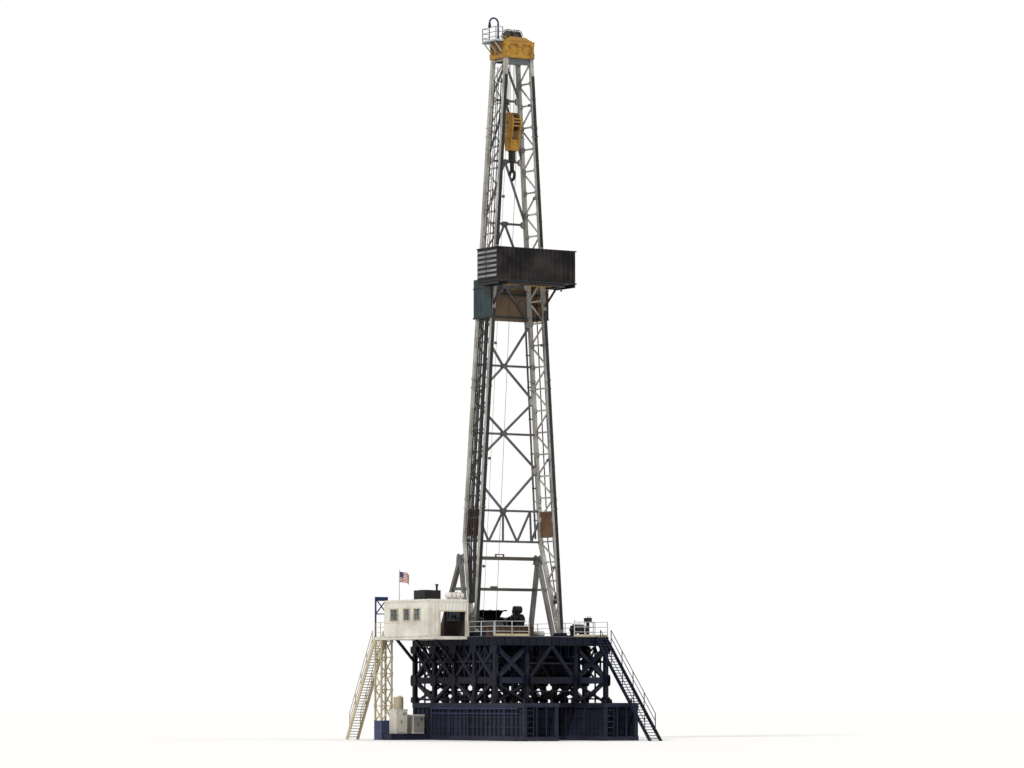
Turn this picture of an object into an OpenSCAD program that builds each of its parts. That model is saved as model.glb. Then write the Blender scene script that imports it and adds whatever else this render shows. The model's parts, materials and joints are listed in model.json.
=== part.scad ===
// Land drilling rig with a cantilever mast on a box-on-box substructure.
// A 1:2 scale model: every length below is in millimetres at the model's own size,
// so a value here is half of the real one. Front is -Y, rear is +Y, up is +Z.
// The origin is the well centre on the ground.

/* [Substructure] */
// Half of the width over both side boxes
sub_half_w = 2500; // [2400:10:2800]
// Width of one side box
box_w = 1500; // [1300:10:1600]
// Height of the drill floor above the ground
floor_z = 3810; // [3600:10:4200]
// Front edge of the drill floor, forward of the well
floor_front = 2700; // [2500:10:2900]
// Rear edge of the drill floor, behind the well
floor_rear = 3000; // [2900:10:3200]
// Height of the lower base boxes
base_h = 1375; // [1200:5:1500]
// Reach of the base boxes forward of the drill floor
base_reach = 1950; // [1500:10:2200]
// Height of the rail that ties the columns halfway
mid_z = 2200; // [2000:10:2400]
// Side of a column
column = 150; // [120:2:170]
// Columns along one side
column_n = 5; // [4:1:6]
// Height of the beams in the base boxes
skid_h = 180; // [140:5:220]
// Thickness of the side plates of a base box
web_t = 16; // [10:1:24]
// Side of the bracing bars
sub_brace = 130; // [90:2:144]
// Depth of the rail that ties the columns halfway
mid_rail = 240; // [120:10:300]
// Depth of the beams under the drill floor
floor_beam = 310; // [260:5:340]
// Thickness of the floor plate
floor_t = 30; // [20:1:40]

/* [Rotary table] */
// Bore of the rotary table
rotary_bore_r = 174.6; // [150:0.1:200]
// Radius of the turning ring
rotary_ring_r = 330; // [300:5:360]
// Half of the length of the rotary housing
rotary_half_l = 520; // [480:5:560]
// Half of the width of the rotary housing
rotary_half_w = 400; // [380:5:440]
// Height of the rotary housing
rotary_h = 260; // [200:5:290]

/* [Mast] */
// Height of the mast from the drill floor to the crown
mast_h = 21640; // [20500:20:22500]
// Spread of the legs at the floor
foot_spread = 3810; // [3600:10:4000]
// Spread of the legs at the crown
crown_spread = 1100; // [1000:10:1300]
// Front chords, forward of the well
mast_front = 450; // [420:5:500]
// Depth of the legs above the taper
leg_depth = 1075; // [1000:5:1150]
// Depth of the legs at the crown
leg_depth_top = 900; // [860:5:960]
// Height above the floor where the rear chord turns down to the foot
taper_h = 3530; // [3300:10:3700]
// Side of a mast chord
chord = 140; // [120:2:160]
// Side of the lacing bars of the legs
lace = 56; // [40:2:70]
// Side of the bars of the rear face
rear_brace = 80; // [60:2:96]
// Panels of lacing on one leg
lace_n = 22; // [18:1:26]
// Height of the foot shoe above the floor
shoe_h = 160; // [120:5:200]

/* [A-frame] */
// Rear feet of the A-frame, behind the well
a_foot_y = 1850; // [1700:10:1950]
// Apex of the A-frame, behind the well
a_apex_y = 850; // [820:10:900]
// Apex of the A-frame above the floor
a_apex_h = 2950; // [2800:10:3000]
// Height of the lower cross beam above the floor
a_tie_h = 1800; // [1700:10:1900]
// Side of an A-frame leg
a_leg = 150; // [120:2:170]

/* [Crown and blocks] */
// Height of the crown frame
crown_frame_h = 650; // [560:10:700]
// Half of the width of the crown frame
crown_half_w = 640; // [620:10:700]
// Half of the length of the crown frame
crown_half_l = 560; // [540:10:600]
// Radius of a sheave
sheave_r = 300; // [280:2:310]
// Sheaves in a cluster
sheave_n = 5; // [4:1:6]
// Pitch of the sheaves on their shaft
sheave_pitch = 60; // [54:1:62]
// Radius of the drilling line
line_r = 8; // [6:0.5:10]
// Drop from the axis of the crown sheaves to the top of the travelling block
block_hang = 2790; // [2600:10:3000]
// Height of the travelling block
block_h = 1450; // [1350:10:1550]
// Thickness of a side plate of the block
block_plate = 36; // [28:2:44]
// Length of the hook below the block
hook_h = 1150; // [1000:10:1250]

/* [Racking board] */
// Height of the racking board above the floor
board_h = 13150; // [12900:10:13300]
// Half of the width of the racking board
board_half_w = 1725; // [1650:5:1800]
// Reach of the board forward of the front chords
board_reach = 1225; // [1100:5:1300]
// Height of the walls round the board
board_wall_h = 1225; // [1100:5:1300]
// Height of the wind walls round the mast below the board
mast_wall_h = 1150; // [1000:10:1250]
// Thickness of a wind wall
wind_t = 16; // [12:1:20]
// Reach of the side walks behind the front chords
board_tail = 150; // [120:5:300]
// Pipe fingers on one side
finger_n = 8; // [6:1:9]

/* [Doghouse] */
// Width of the doghouse
dog_w = 1725; // [1650:5:1800]
// Front wall of the doghouse, forward of the well
dog_front = 850; // [800:10:900]
// Length of the doghouse
dog_l = 3000; // [2900:10:3050]
// Height of the doghouse walls
dog_h = 1290; // [1200:5:1400]
// Thickness of a doghouse wall
dog_t = 50; // [40:1:60]
// Thickness of the doghouse roof
roof_t = 40; // [30:1:50]
// Length of the porch behind the doghouse
porch_l = 750; // [700:10:800]
// Depth of the doghouse platform
platform_t = 110; // [90:5:130]

/* [Stairs and rails] */
// Clear width of the stairs
stair_w = 500; // [450:10:520]
// Run of the right stair
right_run = 3550; // [3400:10:3700]
// Run of the left stair
left_run = 2050; // [1900:10:2200]
// Treads of one flight
tread_n = 36; // [32:1:38]
// Height of the guardrails
rail_h = 550; // [500:10:600]
// Side of the rail bars
rail_bar = 24; // [20:1:30]

/* [Hidden] */

floor_under = floor_z - floor_t;
frame_under = floor_under - floor_beam;
base_front = floor_front + base_reach;
box_out = sub_half_w - column / 2;
box_in = sub_half_w - box_w + column / 2;
gap_half = sub_half_w - box_w;
column_pitch = (floor_front + floor_rear - column) / (column_n - 1);
dog_rear = dog_l - dog_front;
dog_out = sub_half_w + dog_w;
porch_y = dog_rear + porch_l;
board_z = floor_z + board_h;
crown_z = floor_z + mast_h;
crown_top = crown_z + crown_frame_h;
sheave_z = crown_top + 150;
cluster_half = sheave_n * sheave_pitch / 2;
fast_x = cluster_half + 85;
block_top = sheave_z - block_hang;
block_cheek = sheave_r + 75;
block_axle_z = block_top - block_cheek;
eps = 0.3;
groove = 2 * line_r + 2;
line_y = sheave_r - groove + line_r + eps;

function mix(a, b, t) = a + (b - a) * t;

// Half of the spread of the legs at a height above the floor
function leg_x(h) = mix(foot_spread / 2, crown_spread / 2, h / mast_h);

// Place of the rear chord: it runs down to the foot below the taper
function rear_y(h) = h < taper_h
  ? mix(chord - mast_front, leg_depth - mast_front, h / taper_h)
  : mix(leg_depth, leg_depth_top, (h - taper_h) / (mast_h - taper_h)) - mast_front;

function front_pt(side, h) = [side * leg_x(h), -mast_front, floor_z + h];
function rear_pt(side, h) = [side * leg_x(h), rear_y(h), floor_z + h];
function column_y(i) = -floor_front + column / 2 + i * column_pitch;

// A straight bar of rectangular section from p to q
module bar(p, q, w, d = 0) {
  v = q - p;
  l = norm(v);
  translate(p)
    rotate([-asin(v[1] / l), atan2(v[0], v[2]), 0])
      translate([-w / 2, -(d == 0 ? w : d) / 2, 0])
        cube([w, d == 0 ? w : d, l]);
}

// A block between two corners
module block(a, b) {
  translate(a) cube(b - a);
}

// A block given on the right side of the rig, or its mirror image where side is -1
module side_block(side, a, b) {
  block(side < 0 ? [-b[0], a[1], a[2]] : a, side < 0 ? [-a[0], b[1], b[2]] : b);
}

// A post-and-rail guardrail along X or Y from p to q, standing on the height of p
module guardrail(p, q, posts) {
  for (i = [0 : posts - 1])
    translate(mix(p, q, i / (posts - 1)) - [rail_bar / 2, rail_bar / 2, 0])
      cube([rail_bar, rail_bar, rail_h]);
  for (t = [1 / 3, 2 / 3, 1])
    bar(p + [0, 0, rail_h * t - rail_bar / 2], q + [0, 0, rail_h * t - rail_bar / 2],
        rail_bar * 0.8);
}

// Base box: two plated walls with stiffeners between skid beams
post_n = 7;
post_pitch = (base_front + floor_rear - column) / (post_n - 1);
post_w = 110;
function post_y(i) = -base_front + i * post_pitch + (column - post_w) / 2;

module base_box(side) {
  color("#1d2a4d")
    for (x = [gap_half, sub_half_w - column])
      union() {
        for (z = [0, base_h - skid_h])
          side_block(side, [x, -base_front, z], [x + column, floor_rear, z + skid_h]);
        side_block(side, [x + column / 2 - web_t / 2, -base_front + 10, skid_h / 2],
                   [x + column / 2 + web_t / 2, floor_rear - 10, base_h - skid_h / 2]);
        for (i = [0 : post_n - 1])
          side_block(side, [x + 12, post_y(i), skid_h / 2],
                     [x + column - 12, post_y(i) + post_w, base_h - skid_h / 2]);
      }
}

// Cross beams between the two walls of each base box, at the top and the bottom
module base_box_ties() {
  color("#1d2a4d")
    for (side = [-1, 1], i = [0 : post_n - 1], z = [20, base_h - skid_h + 20])
      side_block(side, [gap_half + column, post_y(i) + 10, z],
                 [sub_half_w - column, post_y(i) + post_w - 10, z + skid_h - 40]);
}

module base_box_left() {
  base_box(-1);
}

module base_box_right() {
  base_box(1);
}

// Upper box: two walls of columns, a halfway rail and crossed braces, on the base box
module upper_box(side) {
  top = frame_under;
  color("#1a2542")
    for (x = [box_in, box_out])
      union() {
        for (i = [0 : column_n - 1])
          side_block(side, [x - column / 2, column_y(i) - column / 2, base_h],
                     [x + column / 2, column_y(i) + column / 2, top]);
        side_block(side, [x - 50, -floor_front + 20, mid_z - mid_rail / 2],
                   [x + 50, floor_rear - 20, mid_z + mid_rail / 2]);
        for (i = [0 : column_n - 2]) {
          bar([side * x, column_y(i), mid_z], [side * x, column_y(i + 1), top - 60], sub_brace);
          bar([side * x, column_y(i + 1), mid_z], [side * x, column_y(i), top - 60],
              sub_brace - 12);
          bar([side * x, column_y(i), i % 2 == 0 ? mid_z : base_h + 60],
              [side * x, column_y(i + 1), i % 2 == 0 ? base_h + 60 : mid_z], sub_brace - 6);
        }
      }
}

// Cross beams between the two walls of each upper box, with crossed braces at the ends
module upper_box_ties() {
  color("#1a2542")
    for (side = [-1, 1], i = [0 : column_n - 1])
      intersection() {
        union() {
          side_block(side, [box_in, column_y(i) - 45, mid_z - mid_rail / 2 + 10],
                     [box_out, column_y(i) + 45, mid_z + mid_rail / 2 - 10]);
          if (i == 0 || i == column_n - 1) {
            bar([side * box_in, column_y(i), mid_z], [side * box_out, column_y(i),
                                                      frame_under - 60], sub_brace - 4);
            bar([side * box_out, column_y(i), mid_z], [side * box_in, column_y(i),
                                                       frame_under - 60], sub_brace - 16);
          }
        }
        side_block(side, [box_in + column / 2, -floor_front, base_h],
                   [box_out - column / 2, floor_rear, frame_under]);
      }
}

module upper_box_left() {
  upper_box(-1);
}

module upper_box_right() {
  upper_box(1);
}

// Cross frame between the side boxes at one row of columns
module spreader(y, top) {
  union() {
    block([-gap_half, y - 50, mid_z - mid_rail / 2], [gap_half, y + 50, mid_z + mid_rail / 2]);
    block([-gap_half, y - 50, base_h - 160], [gap_half, y + 50, base_h - 20]);
    intersection() {
      union() {
        bar([-gap_half - 60, y, mid_z - 40], [0, y, top], sub_brace);
        bar([gap_half + 60, y, mid_z - 40], [0, y, top], sub_brace);
      }
      block([-gap_half, y - 200, 0], [gap_half, y + 200, top]);
    }
  }
}

module spreaders_front() {
  color("#1a2542") {
    spreader(column_y(0), frame_under);
    spreader(column_y(1), frame_under);
  }
}

module spreaders_rear() {
  color("#1a2542") {
    spreader(column_y(column_n - 2), frame_under);
    spreader(column_y(column_n - 1), frame_under);
  }
}

// Grid of beams that carries the drill floor, open round the rotary table
module floor_frame() {
  color("#18213c") difference() {
    union() {
      for (side = [-1, 1])
        for (x = [gap_half, (gap_half + sub_half_w - column) / 2, sub_half_w - column])
          side_block(side, [x, -floor_front, frame_under], [x + column, floor_rear, floor_under]);
      for (i = [0 : column_n - 1])
        block([-sub_half_w + 20, column_y(i) - 60, frame_under + 10],
              [sub_half_w - 20, column_y(i) + 60, floor_under - 10]);
      for (y = [-rotary_half_l - 120, rotary_half_l + 20])
        block([-gap_half - 40, y, frame_under + 20], [gap_half + 40, y + 100, floor_under]);
      for (side = [-1, 1])
        side_block(side, [rotary_half_w + 20, -floor_front + 40, frame_under + 20],
                   [rotary_half_w + 120, floor_rear - 40, floor_under]);
    }
    block([-rotary_half_w - 20, -rotary_half_l - 20, frame_under - 5],
          [rotary_half_w + 20, rotary_half_l + 20, floor_z]);
  }
}

module drill_floor() {
  color("#2a3040") difference() {
    block([-sub_half_w, -floor_front, floor_under], [sub_half_w, floor_rear, floor_z]);
    block([-rotary_half_w, -rotary_half_l, floor_under - 5],
          [rotary_half_w, rotary_half_l, floor_z + 5]);
  }
}

module rotary_table() {
  color("#5a3a28") difference() {
    union() {
      block([-rotary_half_w, -rotary_half_l, floor_z - rotary_h],
            [rotary_half_w, rotary_half_l, floor_z]);
      translate([0, 0, floor_z - 5]) cylinder(h = 30, r = rotary_ring_r, $fn = 48);
      for (y = [-rotary_half_l - 20, rotary_half_l - 60])
        block([-rotary_half_w - 20, y, floor_under - 90],
              [rotary_half_w + 20, y + 80, floor_under]);
    }
    translate([0, 0, floor_z - rotary_h - 5])
      cylinder(h = rotary_h + 60, r = rotary_bore_r, $fn = 48);
  }
}

// Drawworks: a brown skid with a drum under a guard, and the motors beside it
draw_x = 150;
draw_half_w = 1600;
draw_front = 1180;
draw_rear = 2520;
draw_skid_h = 420;
drum_y = 1730;
drum_r = 300;
drum_half = 520;
guard_r = 430;
guard_rise = 180;
guard_t = 12;
guard_half = drum_half + 170;

module drawworks_skid() {
  color("#5b4027") union() {
    block([draw_x - draw_half_w, draw_front, floor_z],
          [draw_x + draw_half_w, draw_front + 60, floor_z + draw_skid_h]);
    block([draw_x - draw_half_w, draw_rear - 60, floor_z],
          [draw_x + draw_half_w, draw_rear, floor_z + draw_skid_h]);
    for (x = [-draw_half_w, -drum_half - 180, drum_half + 120, draw_half_w - 60])
      block([draw_x + x, draw_front + 20, floor_z], [draw_x + x + 60, draw_rear - 20,
                                                  floor_z + draw_skid_h]);
    block([draw_x - draw_half_w + 20, draw_front + 20, floor_z],
          [draw_x + draw_half_w - 20, draw_rear - 20, floor_z + 40]);
    for (x = [-drum_half - 180, drum_half + 120])
      translate([draw_x + x, drum_y, floor_z + draw_skid_h - 30]) rotate([90, 0, 90])
        cylinder(h = 60, r = 210, $fn = 32);
  }
}

module drawworks_drum() {
  color("#20242a") {
    union() {
      translate([draw_x - drum_half - 119, drum_y, floor_z + draw_skid_h - 20]) rotate([0, 90, 0])
        cylinder(h = 2 * drum_half + 238, r = 90, $fn = 32);
      translate([draw_x - drum_half + 30, drum_y, floor_z + draw_skid_h - 20]) rotate([0, 90, 0])
        cylinder(h = 2 * drum_half - 60, r = drum_r - 60, $fn = 48);
      for (x = [-drum_half, drum_half - 50])
        translate([draw_x + x, drum_y, floor_z + draw_skid_h - 20]) rotate([0, 90, 0])
          cylinder(h = 50, r = drum_r + 60, $fn = 48);
    }
    drum_guard();
  }
}

// Arched guard over the rear of the drum, open to the front where the line comes down.
// It stands on the cross members of the skid.
module drum_guard() {
  translate([draw_x - guard_half, drum_y, floor_z + draw_skid_h + guard_rise]) rotate([90, 0, 90])
    linear_extrude(2 * guard_half) difference() {
      union() {
        circle(r = guard_r, $fn = 64);
        translate([0, -guard_rise]) square([guard_r, guard_rise]);
      }
      circle(r = guard_r - guard_t, $fn = 64);
      translate([-guard_r, -guard_r - 1]) square([2 * guard_r - guard_t, guard_r + 1]);
      translate([-guard_r - 5, -5]) square([guard_r - 95, guard_r + 10]);
      translate([-guard_r, -guard_r - 10]) square([2 * guard_r + 10, guard_r - guard_rise + 10]);
    }
}

motor_xs = [-1250, 1080];
motor_r = 220;
motor_half = 230;
motor_axle = 250;
motor_y = draw_front + 340;
bell = 60;
fan_r = 140;
fan_z = 640;
gear_y = drum_y + guard_r + 10;
gear_r = 130;

// Motor with domed end bells on its feet, and a blower that stands on it
module drawworks_motor() {
  union() {
    block([-motor_half - 30, -motor_r - 90, 0], [motor_half + 30, motor_r + 80, 40]);
    for (s = [-1, 1])
      block([-motor_half + 40, s * 150 - 40, 30], [motor_half - 40, s * 150 + 40, 130]);
    translate([0, 0, motor_axle]) rotate([0, 90, 0]) rotate_extrude($fn = 48)
      polygon([[0, -motor_half - bell], [70, -motor_half - bell], [70, -motor_half - bell / 2],
               [motor_r - 70, -motor_half - bell / 3], [motor_r - 12, -motor_half + bell / 3],
               [motor_r, -motor_half + bell / 2], [motor_r, motor_half - bell / 2],
               [motor_r - 12, motor_half - bell / 3], [motor_r - 70, motor_half + bell / 3],
               [70, motor_half + bell / 2], [70, motor_half + bell], [0, motor_half + bell]]);
    block([-70, -80, motor_axle + motor_r - 40], [70, 80, fan_z]);
    translate([-fan_r, 0, fan_z]) rotate([0, 90, 0]) cylinder(h = 2 * fan_r, r = fan_r, $fn = 32);
  }
}

// Rounded gear case behind the drum, from x0 to x1 and as high as h
module gear_case(x0, x1, h) {
  hull() {
    block([x0, gear_y + 10, 50], [x1, draw_rear - 80, 80]);
    translate([x0, (gear_y + draw_rear - 70) / 2, h - gear_r]) rotate([0, 90, 0])
      cylinder(h = x1 - x0, r = gear_r, $fn = 32);
  }
}

// Two motors beside the drum, and the gear cases behind it on one base
module drawworks_motors() {
  color("#15171b") translate([draw_x, 0, floor_z + draw_skid_h]) {
    for (x = motor_xs)
      translate([x, motor_y, 0]) drawworks_motor();
    union() {
      block([-draw_half_w + 100, gear_y, 0], [draw_half_w - 100, draw_rear - 60, 60]);
      gear_case(-1300, -500, 420);
      gear_case(300, 1200, 360);
    }
  }
}

// Air hoist on the floor beside the right leg
module air_hoist() {
  x = 1780;
  y = -1750;
  color("#15171b") {
    union() {
      block([x - 300, y - 220, floor_z], [x + 300, y + 220, floor_z + 60]);
      for (s = [-1, 1])
        block([x + s * 220 - 25, y - 160, floor_z + 50], [x + s * 220 + 25, y + 160, floor_z + 420]);
      translate([x - 230, y, floor_z + 260]) rotate([0, 90, 0])
        cylinder(h = 460, r = 110, $fn = 32);
      for (s = [-1, 1])
        translate([x + s * 150 - 12, y, floor_z + 260]) rotate([0, 90, 0])
          cylinder(h = 24, r = 190, $fn = 32);
    }
    union() {
      block([x + 330, y - 120, floor_z], [x + 560, y + 120, floor_z + 40]);
      block([x + 400, y - 50, floor_z + 30], [x + 480, y + 50, floor_z + 600]);
      block([x + 340, y - 110, floor_z + 560], [x + 550, y + 110, floor_z + 700]);
    }
  }
}

// Guardrails stand on the floor edge, clear of the stair heads
right_stair_x = sub_half_w - stair_w - 60;
edge = rail_bar;

module guardrail_front() {
  color("#c9ccd0") {
    guardrail([-sub_half_w + edge, -floor_front + edge, floor_z],
              [-gap_half, -floor_front + edge, floor_z], 3);
    guardrail([gap_half, -floor_front + edge, floor_z],
              [right_stair_x - edge, -floor_front + edge, floor_z], 3);
  }
}

module guardrail_right() {
  color("#c9ccd0")
    guardrail([sub_half_w - edge, -floor_front + edge, floor_z],
              [sub_half_w - edge, floor_rear - edge, floor_z], 7);
}

module guardrail_rear() {
  color("#c9ccd0") {
    guardrail([-sub_half_w + edge, floor_rear - edge, floor_z],
              [sub_half_w - 4 * edge, floor_rear - edge, floor_z], 7);
    guardrail([-sub_half_w + edge, -floor_front + 4 * edge, floor_z],
              [-sub_half_w + edge, -dog_front - 2 * edge, floor_z], 3);
  }
}

// One flight of stairs that falls along -Y (dir -1) or +Y (dir 1) from its head.
// The stringers stand on the ground and lean on the edge of the floor.
stringer_t = 30;
stringer_w = 150;
tread_d = 110;
tread_t = 20;
tread_gap = 10;

module flight_stringers(x, y, dir, run, top) {
  slope = atan2(top, run);
  for (sx = [x, x + stair_w - stringer_t])
    difference() {
      union() {
        bar([sx + stringer_t / 2, y - dir * 200, top + 200 * tan(slope) - stringer_w * 0.6],
            [sx + stringer_t / 2, y + dir * (run + 200),
             -200 * tan(slope) - stringer_w * 0.6], stringer_t, stringer_w);
        for (i = [0 : 4])
          let (t = (i + 0.4) / 5)
            block([sx + stringer_t / 2 - rail_bar / 2, y + dir * run * t - rail_bar / 2,
                   top * (1 - t) - 60],
                  [sx + stringer_t / 2 + rail_bar / 2, y + dir * run * t + rail_bar / 2,
                   top * (1 - t) + rail_h]);
        for (k = [0.5, 1])
          let (a = 0.4 / 5, b = 4.4 / 5)
            bar([sx + stringer_t / 2, y + dir * run * a, top * (1 - a) + rail_h * k - 12],
                [sx + stringer_t / 2, y + dir * run * b, top * (1 - b) + rail_h * k - 12],
                rail_bar * 0.8);
      }
      block([sx - 50, y - dir * 1000 - 1000, -2000], [sx + 100, y - dir * 1000 + 1000, top + 2000]);
      block([sx - 50, -9000, -3000], [sx + 100, 9000, 0]);
    }
}

module flight_treads(x, y, dir, run, top) {
  rise = top / (tread_n + 1);
  going = run / (tread_n + 1);
  for (i = [1 : tread_n])
    let (c = y + dir * (going * (i - 1) + tread_gap + tread_d / 2))
      block([x + stringer_t, c - tread_d / 2, top - rise * i - tread_t],
            [x + stair_w - stringer_t, c + tread_d / 2, top - rise * i]);
}

module stair_right() {
  color("#3a3f4c") flight_stringers(right_stair_x, -floor_front, -1, right_run, floor_z);
}

module stair_right_treads() {
  color("#4a4f5c") flight_treads(right_stair_x, -floor_front, -1, right_run, floor_z);
}

module stair_left() {
  color("#cdbf9a") flight_stringers(-dog_out, porch_y, 1, left_run, floor_z);
}

module stair_left_treads() {
  color("#b5a888") flight_treads(-dog_out, porch_y, 1, left_run, floor_z);
}

// Lattice tower under the rear left corner of the porch
tower_w = 500;
tower_leg = 60;

module stair_tower() {
  x0 = -dog_out;
  y0 = porch_y - tower_w;
  top = floor_z - platform_t;
  leg_c = [tower_leg / 2, tower_w - tower_leg / 2];
  color("#cdbf9a") union() {
    for (x = leg_c, y = leg_c)
      block([x0 + x - tower_leg / 2, y0 + y - tower_leg / 2, 0],
            [x0 + x + tower_leg / 2, y0 + y + tower_leg / 2, top]);
    block([x0 + 10, y0 + 10, 0], [x0 + tower_w - 10, y0 + tower_w - 10, 700]);
    for (k = [0 : 4]) {
      z0 = 700 + k * (top - 700) / 5;
      z1 = 700 + (k + 1) * (top - 700) / 5;
      for (x = leg_c) {
        block([x0 + x - 18, y0 + 30, z1 - 60], [x0 + x + 18, y0 + tower_w - 30, z1 - 20]);
        bar([x0 + x, y0 + leg_c[k % 2], z0], [x0 + x, y0 + leg_c[1 - k % 2], z1 - 40], 34);
      }
      for (y = leg_c) {
        block([x0 + 30, y0 + y - 18, z1 - 60], [x0 + tower_w - 30, y0 + y + 18, z1 - 20]);
        bar([x0 + leg_c[k % 2], y0 + y, z0], [x0 + leg_c[1 - k % 2], y0 + y, z1 - 40], 34);
      }
    }
  }
}

// Low skid beside the substructure, with the utility cabinet, its tank and a meter box
side_skid_h = 240;
cab_x = -3650;
cab_y = 2120;
cab_half = 240;
cab_h = 900;
meter_x = -2900;
meter_h = 700;

module side_skid() {
  color("#202a44") union() {
    for (y = [cab_y - 340, cab_y + 150])
      block([-dog_out + 60, y, 0], [-sub_half_w, y + 120, side_skid_h - 20]);
    for (x = [-dog_out + 60, -3300, -sub_half_w - 120])
      block([x, cab_y - 300, 20], [x + 120, cab_y + 240, side_skid_h - 30]);
    block([-dog_out + 70, cab_y - 330, side_skid_h - 30],
          [-sub_half_w - 10, cab_y + 260, side_skid_h]);
  }
}

module utility_cabinet() {
  top = side_skid_h + cab_h;
  color("#dcd8cc") {
    union() {
      block([cab_x - cab_half, cab_y - 250, side_skid_h], [cab_x + cab_half, cab_y + 250, top - 30]);
      block([cab_x - cab_half - 20, cab_y - 270, top - 40],
            [cab_x + cab_half + 20, cab_y + 270, top]);
      translate([cab_x, cab_y, top - 10]) cylinder(h = 460, r = 180, $fn = 32);
      translate([cab_x, cab_y, top + 440]) cylinder(h = 40, r = 70, $fn = 24);
    }
    union() {
      block([meter_x - cab_half, cab_y - 220, side_skid_h],
            [meter_x + cab_half, cab_y + 220, side_skid_h + meter_h - 30]);
      block([meter_x - cab_half - 15, cab_y - 235, side_skid_h + meter_h - 40],
            [meter_x + cab_half + 15, cab_y + 235, side_skid_h + meter_h]);
    }
  }
}

// Platform that carries the doghouse and the porch off the left side of the floor
platform_strut = 90;
strut_drop = 900;
strut_reach = 800;

module doghouse_platform() {
  z0 = floor_z - platform_t;
  color("#d8d4c6") union() {
    block([-dog_out, -dog_front, floor_z - 20], [-sub_half_w, porch_y, floor_z]);
    for (x = [-dog_out, -sub_half_w - 80])
      block([x, -dog_front, z0], [x + 80, porch_y, floor_z - 10]);
    for (i = [0 : 6])
      let (y = mix(-dog_front, porch_y - 80, i / 6))
        block([-dog_out + 20, y, z0], [-sub_half_w - 20, y + 80, floor_z - 10]);
    for (y = [column_y(column_n - 3), column_y(column_n - 2), porch_y - 45])
      intersection() {
        bar([-sub_half_w + 100, y, z0 - strut_drop], [-sub_half_w - strut_reach, y, z0 + 60],
            platform_strut);
        block([-dog_out, y - platform_strut, z0 - 2 * strut_drop],
              [-sub_half_w, y + platform_strut, z0 + 40]);
      }
  }
}

win_sill = 600;
win_h = 400;
wall_z0 = floor_z;
wall_z1 = floor_z + dog_h;
// Centre and width of each window in the left wall, along Y
left_windows = [[-120, 420], [600, 420], [1480, 520]];
door_w = 480;
door_h = 1030;

module doghouse_front_wall() {
  color("#e4e0d2") difference() {
    block([-dog_out, -dog_front, wall_z0], [-sub_half_w, -dog_front + dog_t, wall_z1]);
    block([-sub_half_w - 1180, -dog_front - 10, wall_z0 - 5],
          [-sub_half_w - 80, -dog_front + dog_t + 10, wall_z0 + 900]);
  }
}

module doghouse_rear_wall() {
  color("#e4e0d2") difference() {
    block([-dog_out, dog_rear - dog_t, wall_z0], [-sub_half_w, dog_rear, wall_z1]);
    block([-dog_out + 1000, dog_rear - dog_t - 10, wall_z0 - 5],
          [-dog_out + 1000 + door_w, dog_rear + 10, wall_z0 + door_h]);
  }
}

module doghouse_left_wall() {
  color("#e4e0d2") difference() {
    block([-dog_out, -dog_front + dog_t, wall_z0], [-dog_out + dog_t, dog_rear - dog_t, wall_z1]);
    for (w = left_windows)
      block([-dog_out - 10, w[0] - w[1] / 2, wall_z0 + win_sill],
            [-dog_out + dog_t + 10, w[0] + w[1] / 2, wall_z0 + win_sill + win_h]);
  }
}

module doghouse_right_wall() {
  color("#e4e0d2") difference() {
    block([-sub_half_w - dog_t, -dog_front + dog_t, wall_z0],
          [-sub_half_w, dog_rear - dog_t, wall_z1]);
    block([-sub_half_w - dog_t - 10, 700, wall_z0 - 5],
          [-sub_half_w + 10, 700 + door_w, wall_z0 + door_h]);
    block([-sub_half_w - dog_t - 10, -350, wall_z0 + win_sill],
          [-sub_half_w + 10, 450, wall_z0 + win_sill + win_h]);
  }
}

// One sheet of glass in each window, set in the middle of the wall
module doghouse_glass() {
  color("#6d8796") {
    for (w = left_windows)
      block([-dog_out + dog_t / 2 - 4, w[0] - w[1] / 2, wall_z0 + win_sill],
            [-dog_out + dog_t / 2 + 4, w[0] + w[1] / 2, wall_z0 + win_sill + win_h]);
    block([-sub_half_w - dog_t / 2 - 4, -350, wall_z0 + win_sill],
          [-sub_half_w - dog_t / 2 + 4, 450, wall_z0 + win_sill + win_h]);
  }
}

module doghouse_roof() {
  color("#dedacb") union() {
    block([-dog_out - 30, -dog_front - 30, wall_z1], [-sub_half_w + 10, dog_rear + 30,
                                                  wall_z1 + roof_t]);
    block([-dog_out + 30, -dog_front + 30, wall_z1 + roof_t - 10],
          [-sub_half_w - 30, dog_rear - 30, wall_z1 + roof_t + 12]);
  }
}

roof_z = wall_z1 + roof_t + 12;

// Black air-conditioning housing with a short stack
module roof_box() {
  x = -sub_half_w - 850;
  y = 585;
  color("#17191c") union() {
    block([x - 330, y - 360, roof_z], [x + 330, y + 360, roof_z + 40]);
    block([x - 350, y - 380, roof_z + 30], [x + 350, y + 380, roof_z + 365]);
    translate([x + 260, y - 250, roof_z + 355]) cylinder(h = 190, r = 40, $fn = 24);
    translate([x + 260, y - 250, roof_z + 535]) cylinder(h = 60, r = 62, $fn = 24);
  }
}

module roof_tank() {
  x = -sub_half_w - 380;
  y = -560;
  color("#e6e4dc") union() {
    translate([x - 280, y, roof_z + 150]) rotate([0, 90, 0]) cylinder(h = 560, r = 120, $fn = 32);
    for (s = [-1, 1])
      translate([x + s * 280, y, roof_z + 150]) sphere(r = 119, $fn = 32);
    for (s = [-1, 1])
      block([x + s * 180 - 25, y - 90, roof_z], [x + s * 180 + 25, y + 90, roof_z + 80]);
  }
}

module porch_rails() {
  color("#d8cfae") {
    guardrail([-dog_out + edge, dog_rear + 60, floor_z],
              [-dog_out + edge, porch_y - 90, floor_z], 3);
    guardrail([-dog_out + stair_w + 80, porch_y - edge, floor_z],
              [-sub_half_w - edge, porch_y - edge, floor_z], 4);
  }
}

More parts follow.
